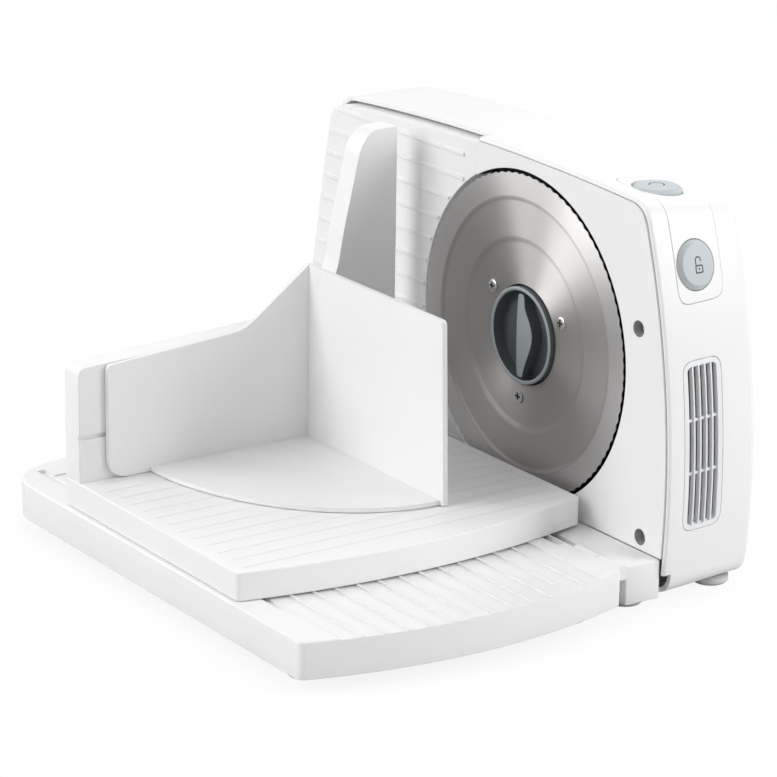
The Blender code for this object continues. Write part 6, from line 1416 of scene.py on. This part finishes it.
def moulded_plastic(name, colour, roughness, grain=0.00003, edge=0.0006):
    """Moulded plastic: fine grain, faint flow marks in colour and gloss, softened edges."""
    material, tree, shader = new_material(name)
    place = tree.nodes.new("ShaderNodeTexCoord").outputs["Object"]
    flow = noise(tree, place, scale=14.0, detail=3.0)
    waver_colour(tree, shader, flow, colour, dim=0.98, low_at=0.35, high_at=0.65)
    waver_gloss(tree, shader, flow, roughness, below=0.03, above=0.04)
    soft = tree.nodes.new("ShaderNodeBevel")
    soft.samples = 6
    soft.inputs["Radius"].default_value = edge
    texture = noise(tree, place, scale=2600.0, detail=2.0)
    grained = bump(tree, texture, strength=0.6, distance=grain, normal=soft.outputs["Normal"])
    tree.links.new(grained, shader["Normal"])
    shader["Specular IOR Level"].default_value = 0.42
    return material


def turned_steel(name, colour, roughness, anisotropy):
    """Steel ground in rings round the blade's axis, with faint streaks and handling marks."""
    material, tree, shader = new_material(name)
    place = tree.nodes.new("ShaderNodeTexCoord").outputs["Object"]
    centred = operate(tree, "VectorMath", 'SUBTRACT', place, PLACE)["Vector"]
    flat = operate(tree, "VectorMath", 'MULTIPLY', centred, (1, 0, 1))["Vector"]
    radius = operate(tree, "VectorMath", 'LENGTH', flat)["Value"]
    rings = noise(tree, radius, scale=3800.0, detail=4.0, dimensions='1D')
    cloud = noise(tree, place, scale=38.0, detail=5.0)
    waver_colour(tree, shader, rings, colour, dim=0.80)
    waver_gloss(tree, shader, cloud, roughness, below=0.02, above=0.02)
    square = operate(tree, "Math", 'POWER', radius, 2.0)["Value"]
    hollow = operate(tree, "Math", 'MULTIPLY', square, HOLLOW_GRIND)["Value"]
    bowl = bump(tree, hollow, strength=1.0, distance=1.0, invert=True)
    ground = bump(tree, rings, strength=0.5, distance=0.00002, normal=bowl)
    tree.links.new(ground, shader["Normal"])
    shader["Metallic"].default_value = 1.0
    shader["Anisotropic"].default_value = anisotropy
    shader["Anisotropic Rotation"].default_value = 0.25
    tangent = tree.nodes.new("ShaderNodeTangent")
    tangent.direction_type = 'RADIAL'
    tangent.axis = 'Y'
    tree.links.new(tangent.outputs["Tangent"], shader["Tangent"])
    return material


def plated_steel(name, colour, roughness):
    """Metal with small faint clouds in its colour and gloss."""
    material, tree, shader = new_material(name)
    place = tree.nodes.new("ShaderNodeTexCoord").outputs["Object"]
    cloud = noise(tree, place, scale=300.0, detail=4.0)
    waver_colour(tree, shader, cloud, colour, dim=0.82)
    waver_gloss(tree, shader, cloud, roughness, below=0.05, above=0.07)
    tree.links.new(bump(tree, cloud, strength=0.4, distance=0.00003), shader["Normal"])
    shader["Metallic"].default_value = 1.0
    return material


MATERIALS = {name: kind(name, *looks) for name, kind, *looks in (
    ("white_plastic", moulded_plastic, (0.86, 0.86, 0.865), 0.36),
    ("soft_white", moulded_plastic, (0.82, 0.83, 0.84), 0.45),
    ("grey_button", moulded_plastic, (0.51, 0.55, 0.57), 0.42, 0.00002, 0.0003),
    ("dark_plastic", moulded_plastic, (0.080, 0.090, 0.095), 0.40),
    ("blade_steel", turned_steel, (0.60, 0.58, 0.57), 0.45, 0.90),
    ("bright_steel", plated_steel, (0.74, 0.74, 0.73), 0.22),
    ("rubber", moulded_plastic, (0.62, 0.62, 0.62), 0.62),
    ("gear_plastic", moulded_plastic, (0.70, 0.68, 0.60), 0.5),
    ("motor_steel", plated_steel, (0.36, 0.37, 0.38), 0.35),
    ("copper", plated_steel, (0.60, 0.33, 0.20), 0.4),
)}
RIM_GREY = moulded_plastic("rim_grey", (0.30, 0.34, 0.35), 0.42, 0.00002, 0.0003)
VANE_GREY = moulded_plastic("vane_grey", (0.28, 0.32, 0.33), 0.42, 0.00002, 0.0004)
# A lighter copy of the blade steel: a painted highlight on the bevel band.
BEVEL_PAINTED_HIGHLIGHT = turned_steel("bevel_steel", (0.70, 0.69, 0.68), 0.45, 0.85)
SIGN_GREY = moulded_plastic("sign_grey", (0.060, 0.070, 0.078), 0.50, 0.00001, 0.0001)
# Grey painted shade for the front plate's screw wells and the screws in them.
WELL_PAINTED_SHADE = moulded_plastic("shade_grey", (0.42, 0.42, 0.42), 0.55)
# Near black painted shade for the blade recess and the blade screws' cross slots.
RECESS_PAINTED_SHADE = moulded_plastic("recess_dark", (0.010, 0.010, 0.010), 0.60)


def material_for(node):
    return MATERIALS[SLOT_OF[node]]


for node_name, node_object in NODES.items():
    node_object.data.materials.clear()
    node_object.data.materials.append(material_for(node_name))


# Finer forms
def soft_step(start, end, low, high, steps=10):
    """Profile points of a pressed step that runs smoothly from one level to the next."""
    points = []
    for i in range(steps + 1):
        share = i / steps
        ease = share * share * (3 - 2 * share)
        points.append((start + (end - start) * share, low + (high - low) * ease))
    return points


def build_blade():
    """The blade with rounded steps and a ground bevel that ends in the scalloped edge."""
    hole_r = KNOB_RIM_R + BLADE_HOLE_GAP
    swell_r = BLADE_SCREW_CIRCLE_R + BLADE_SWELL_MARGIN
    ring_r = BLADE_R - BLADE_BEVEL_WIDTH
    high = BLADE_SWELL_DEPTH + BLADE_DISH
    front = [(hole_r, high)]
    front += soft_step(swell_r - SWELL_SPREAD, swell_r + SWELL_SPREAD, high, BLADE_DISH / 2)
    front += soft_step(ring_r - RING_SPREAD, ring_r + RING_SPREAD, BLADE_DISH, BLADE_DISH / 4)
    back = [(radius, y + BLADE_THICK) for radius, y in reversed(front)]
    profile = front + [(BLADE_R, 0), (BLADE_R, BLADE_EDGE_THICK)] + back
    bm = bmesh.new()
    loops = [blade_loop(bm, radius, y) for radius, y in profile]
    for first, second in zip(loops, loops[1:] + loops[:1]):
        join_loops(bm, first, second)
    return finish(mesh_from(bm, "blade"))


def sign(name, button, place, facing, outlines):
    """A flat printed sign that follows the dome of a button."""
    shape = prism(name, 'Z', 0, WIDE, *outlines)
    shape.data.transform(Matrix.Translation(PLACE + place) @ frame_towards(facing))
    dome = button.copy()
    dome.data = button.data.copy()
    dome.data.transform(Matrix.Translation(facing * SIGN_PROUD))
    PARTS.objects.link(dome)
    mesh = apply_modifiers(keep(shape, dome))
    bpy.data.objects.remove(dome)
    mesh.materials.clear()
    mesh.materials.append(SIGN_GREY)
    node = button.name.removesuffix("_look")
    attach(shape, BODY_OF[node])


def arc_band(centre, radius, width, start, end):
    """Outline of a band along a circle, between two angles in degrees."""
    outer = []
    inner = []
    for step in range(ARC_STEPS + 1):
        angle = math.radians(start + (end - start) * step / ARC_STEPS)
        along = Vector((math.cos(angle), math.sin(angle)))
        outer.append(tuple(Vector(centre) + along * (radius + width / 2)))
        inner.append(tuple(Vector(centre) + along * (radius - width / 2)))
    return outer + inner[::-1]


def build_buttons():
    """Buttons with sloping sides, an open ring on the top one and an open padlock."""
    places = (("top", top_button_place(), TOP_CROWN), ("side", side_button_place(), BUTTON_PROUD))
    signs = {"top": [[arc_band((0, 0), TOP_SIGN_R, TOP_SIGN_LINE, start=20, end=250)]],
             "side": padlock()}
    for name, (place, facing), crown in places:
        under = crown - BUTTON_THICK - BUTTON_SKIRT
        shoulder = BUTTON_R - BUTTON_SLOPE
        rim = crown - BUTTON_DOME / 4
        profile = [(0, crown)]
        for step in range(1, BUTTON_CROWN_STEPS + 1):
            share = step / BUTTON_CROWN_STEPS
            profile.append((shoulder * share, crown - BUTTON_DOME / 4 * share ** 2))
        for step in range(1, BUTTON_RIM_STEPS + 1):
            angle = BUTTON_RIM_TURN * step / BUTTON_RIM_STEPS
            profile.append((shoulder + BUTTON_DOME / 2 * math.sin(angle),
                            rim - BUTTON_DOME / 2 * (1 - math.cos(angle))))
        profile += [(BUTTON_R, 0), (BUTTON_R, under), (0, under)]
        button = finish(turned(name + "_button", place, profile, ROUND, facing))
        for number, outlines in enumerate(signs[name], 1):
            label = "top_sign" if name == "top" else "side_sign_" + str(number)
            sign(label, button, place, facing, outlines)


def padlock():
    """Outlines of an open padlock, up the button: body ring, keyhole and raised shackle."""
    def upright(points):
        return [(-up, across) for across, up in points]
    body, hollow, keyhole = (upright(rounded_box_outline(*sides))
                             for sides in (PADLOCK_BODY, PADLOCK_HOLLOW, PADLOCK_KEYHOLE))
    band = arc_band(SHACKLE_CENTRE, SHACKLE_R, SHACKLE_THICK, start=-25, end=180)
    leg_x = SHACKLE_CENTRE[0] - SHACKLE_R
    leg = [(leg_x - SHACKLE_THICK / 2, SHACKLE_LEG_END), (leg_x + SHACKLE_THICK / 2, SHACKLE_LEG_END)]
    shackle = band[:ARC_STEPS + 1] + leg + band[ARC_STEPS + 1:]
    return [body, hollow], [keyhole], [upright(shackle)]


build_rear_shell()
front_plate = build_front_plate()
# The screw wells get grey painted shade.
paint(front_plate, WELL_PAINTED_SHADE, lambda at: at.y > GAP and any(
    off_axis(at, x, z) < WELL_R + GAP for x, z in WELLS))
# The blade recess behind the blade gets near black painted shade.
paint(front_plate, RECESS_PAINTED_SHADE, lambda at: (
    off_axis(at) < RECESS_R + GAP and GAP < at.y < RECESS_DEPTH + GAP))
build_plate_screws()
build_switch_panel()
build_buttons()
build_vent_grille()
build_stop_plate()
# The bevel band gets the lighter steel as a painted highlight.
paint(build_blade(), BEVEL_PAINTED_HIGHLIGHT, lambda at: (
    off_axis(at) > BLADE_R - BLADE_BEVEL_WIDTH + RING_SPREAD))
build_blade_screws()
lock_knob = build_lock_knob()
rim_inner_r = KNOB_RIM_R - KNOB_CUP_WALL - PRESS_GAP
paint(lock_knob, RIM_GREY, lambda at: (
    off_axis(at) > rim_inner_r and at.y < KNOB_CUP_WALL - KNOB_RIM_PROUD))
paint(lock_knob, VANE_GREY, lambda at: (
    off_axis(at) < rim_inner_r and at.y < VANE_BELOW_RIM - KNOB_RIM_PROUD + PRESS_GAP))
build_plinth()
build_feet()
build_table()
build_carriage()
build_holder()
build_gland()
build_dial_ring()


# Camera, fitted to the photograph's straight edges
CAMERA_AZIMUTH = math.radians(55.70)
CAMERA_ELEVATION = math.radians(17.76)
CAMERA_ROLL = math.radians(0.72)
CAMERA_DISTANCE = 1.9523
CAMERA_TARGET = (-0.13706, 0, -0.06483)
SENSOR_MM = 36
PHOTO_PIXELS = 777
FOCAL_PIXELS = 3548.05
CENTRE_PIXELS = (370.79, 386.39)

# Name, place, target, size in metres and power in watts
LIGHTS = (
    ("key", (-0.5, -1.8, 1.2), (0, 0, 0.08), 1.3, 27),
    ("glint", (-1.87, -0.83, 0.90), (0.04, 0, 0.11), 1.1, 9),
    ("right_fill", (1.4, 1.4, 0.9), (0.05, 0.03, 0.10), 1.2, 26),
    ("back_rim", (-0.6, 1.4, 1.4), (0, 0, 0.1), 1.2, 8),
)
SKY_DIRECTION = (-0.45, -0.20, 0.87)


def add_to_scene(name, data):
    item = bpy.data.objects.new(name, data)
    bpy.context.scene.collection.objects.link(item)
    return item


def aim_camera():
    level = math.cos(CAMERA_ELEVATION)
    back = Vector((math.sin(CAMERA_AZIMUTH) * level, -math.cos(CAMERA_AZIMUTH) * level,
                   math.sin(CAMERA_ELEVATION)))
    right = (-back).cross(Vector((0, 0, 1))).normalized()
    up = right.cross(-back)
    turned_right = right * math.cos(CAMERA_ROLL) + up * math.sin(CAMERA_ROLL)
    turned_up = up * math.cos(CAMERA_ROLL) - right * math.sin(CAMERA_ROLL)
    data = bpy.data.cameras.new("camera")
    data.sensor_width = SENSOR_MM
    data.lens = SENSOR_MM * FOCAL_PIXELS / PHOTO_PIXELS
    data.shift_x = (PHOTO_PIXELS / 2 - CENTRE_PIXELS[0]) / PHOTO_PIXELS
    data.shift_y = (CENTRE_PIXELS[1] - PHOTO_PIXELS / 2) / PHOTO_PIXELS
    data.clip_start = 0.05
    data.clip_end = 50
    camera = add_to_scene("camera", data)
    place = PLACE + Vector(CAMERA_TARGET) + back * CAMERA_DISTANCE
    turn = Matrix((turned_right, turned_up, back)).transposed().to_4x4()
    camera.matrix_world = Matrix.Translation(place) @ turn
    bpy.context.scene.camera = camera


def place_lights():
    """Large soft lights; the glint is seen in reflections only."""
    for name, place, target, size, power in LIGHTS:
        data = bpy.data.lights.new(name, 'AREA')
        data.shape = 'SQUARE'
        data.size = size
        data.energy = power
        lamp = add_to_scene(name, data)
        lamp.location = place
        lamp.rotation_mode = 'QUATERNION'
        lamp.rotation_quaternion = (Vector(target) - Vector(place)).to_track_quat('-Z', 'Y')
        lamp.visible_diffuse = name != "glint"


def mix_shaders(tree, share, first, second):
    node = tree.nodes.new("ShaderNodeMixShader")
    tree.links.new(share, node.inputs["Fac"])
    tree.links.new(first, node.inputs[1])
    tree.links.new(second, node.inputs[2])
    return node.outputs["Shader"]


def set_background(node, strength):
    node.inputs["Color"].default_value = grey(1)
    node.inputs["Strength"].default_value = strength
    return node.outputs["Background"]


def make_world():
    """White to the camera, plain grey light on surfaces and a bright upper left in reflections."""
    world = bpy.data.worlds.new("studio")
    world.use_nodes = True
    tree = world.node_tree
    plain = set_background(tree.nodes["Background"], 0.51)
    mirror = tree.nodes.new("ShaderNodeBackground")
    mirrored = set_background(mirror, 1.5)
    seen = set_background(tree.nodes.new("ShaderNodeBackground"), 1.0)
    direction = tree.nodes.new("ShaderNodeTexCoord").outputs["Generated"]
    towards = operate(tree, "VectorMath", 'DOT_PRODUCT', direction, SKY_DIRECTION)["Value"]
    sky = ramp(tree, towards, grey(0.27), grey(1.0), 0.12, 0.60)
    tree.links.new(sky, mirror.inputs["Color"])
    path = tree.nodes.new("ShaderNodeLightPath").outputs
    glossy = mix_shaders(tree, path["Is Glossy Ray"], plain, mirrored)
    whole = mix_shaders(tree, path["Is Camera Ray"], glossy, seen)
    tree.links.new(whole, tree.nodes["World Output"].inputs["Surface"])
    bpy.context.scene.world = world


def lay_floor():
    """A wide floor that takes shadows and looks nearly white to the camera."""
    bm = bmesh.new()
    bmesh.ops.create_grid(bm, x_segments=1, y_segments=1, size=12)
    mesh = bpy.data.meshes.new("floor")
    bm.to_mesh(mesh)
    bm.free()
    floor = add_to_scene("floor", mesh)
    floor.location = (0, 0, -0.0002)
    material, tree, shader = new_material("floor")
    shader["Base Color"].default_value = grey(0.60)
    shader["Roughness"].default_value = 0.8
    shader["Specular IOR Level"].default_value = 0.1
    glow = tree.nodes.new("ShaderNodeEmission")
    glow.inputs["Strength"].default_value = 1.1
    seen = tree.nodes.new("ShaderNodeLightPath").outputs["Is Camera Ray"]
    share = operate(tree, "Math", 'MULTIPLY', seen, 0.80)["Value"]
    whole = mix_shaders(tree, share, tree.nodes["Principled BSDF"].outputs["BSDF"],
                        glow.outputs["Emission"])
    tree.links.new(whole, tree.nodes["Material Output"].inputs["Surface"])
    mesh.materials.append(material)


aim_camera()
place_lights()
make_world()
lay_floor()
bpy.context.scene.view_settings.view_transform = 'Standard'
bpy.data.collections.remove(CUTTERS)
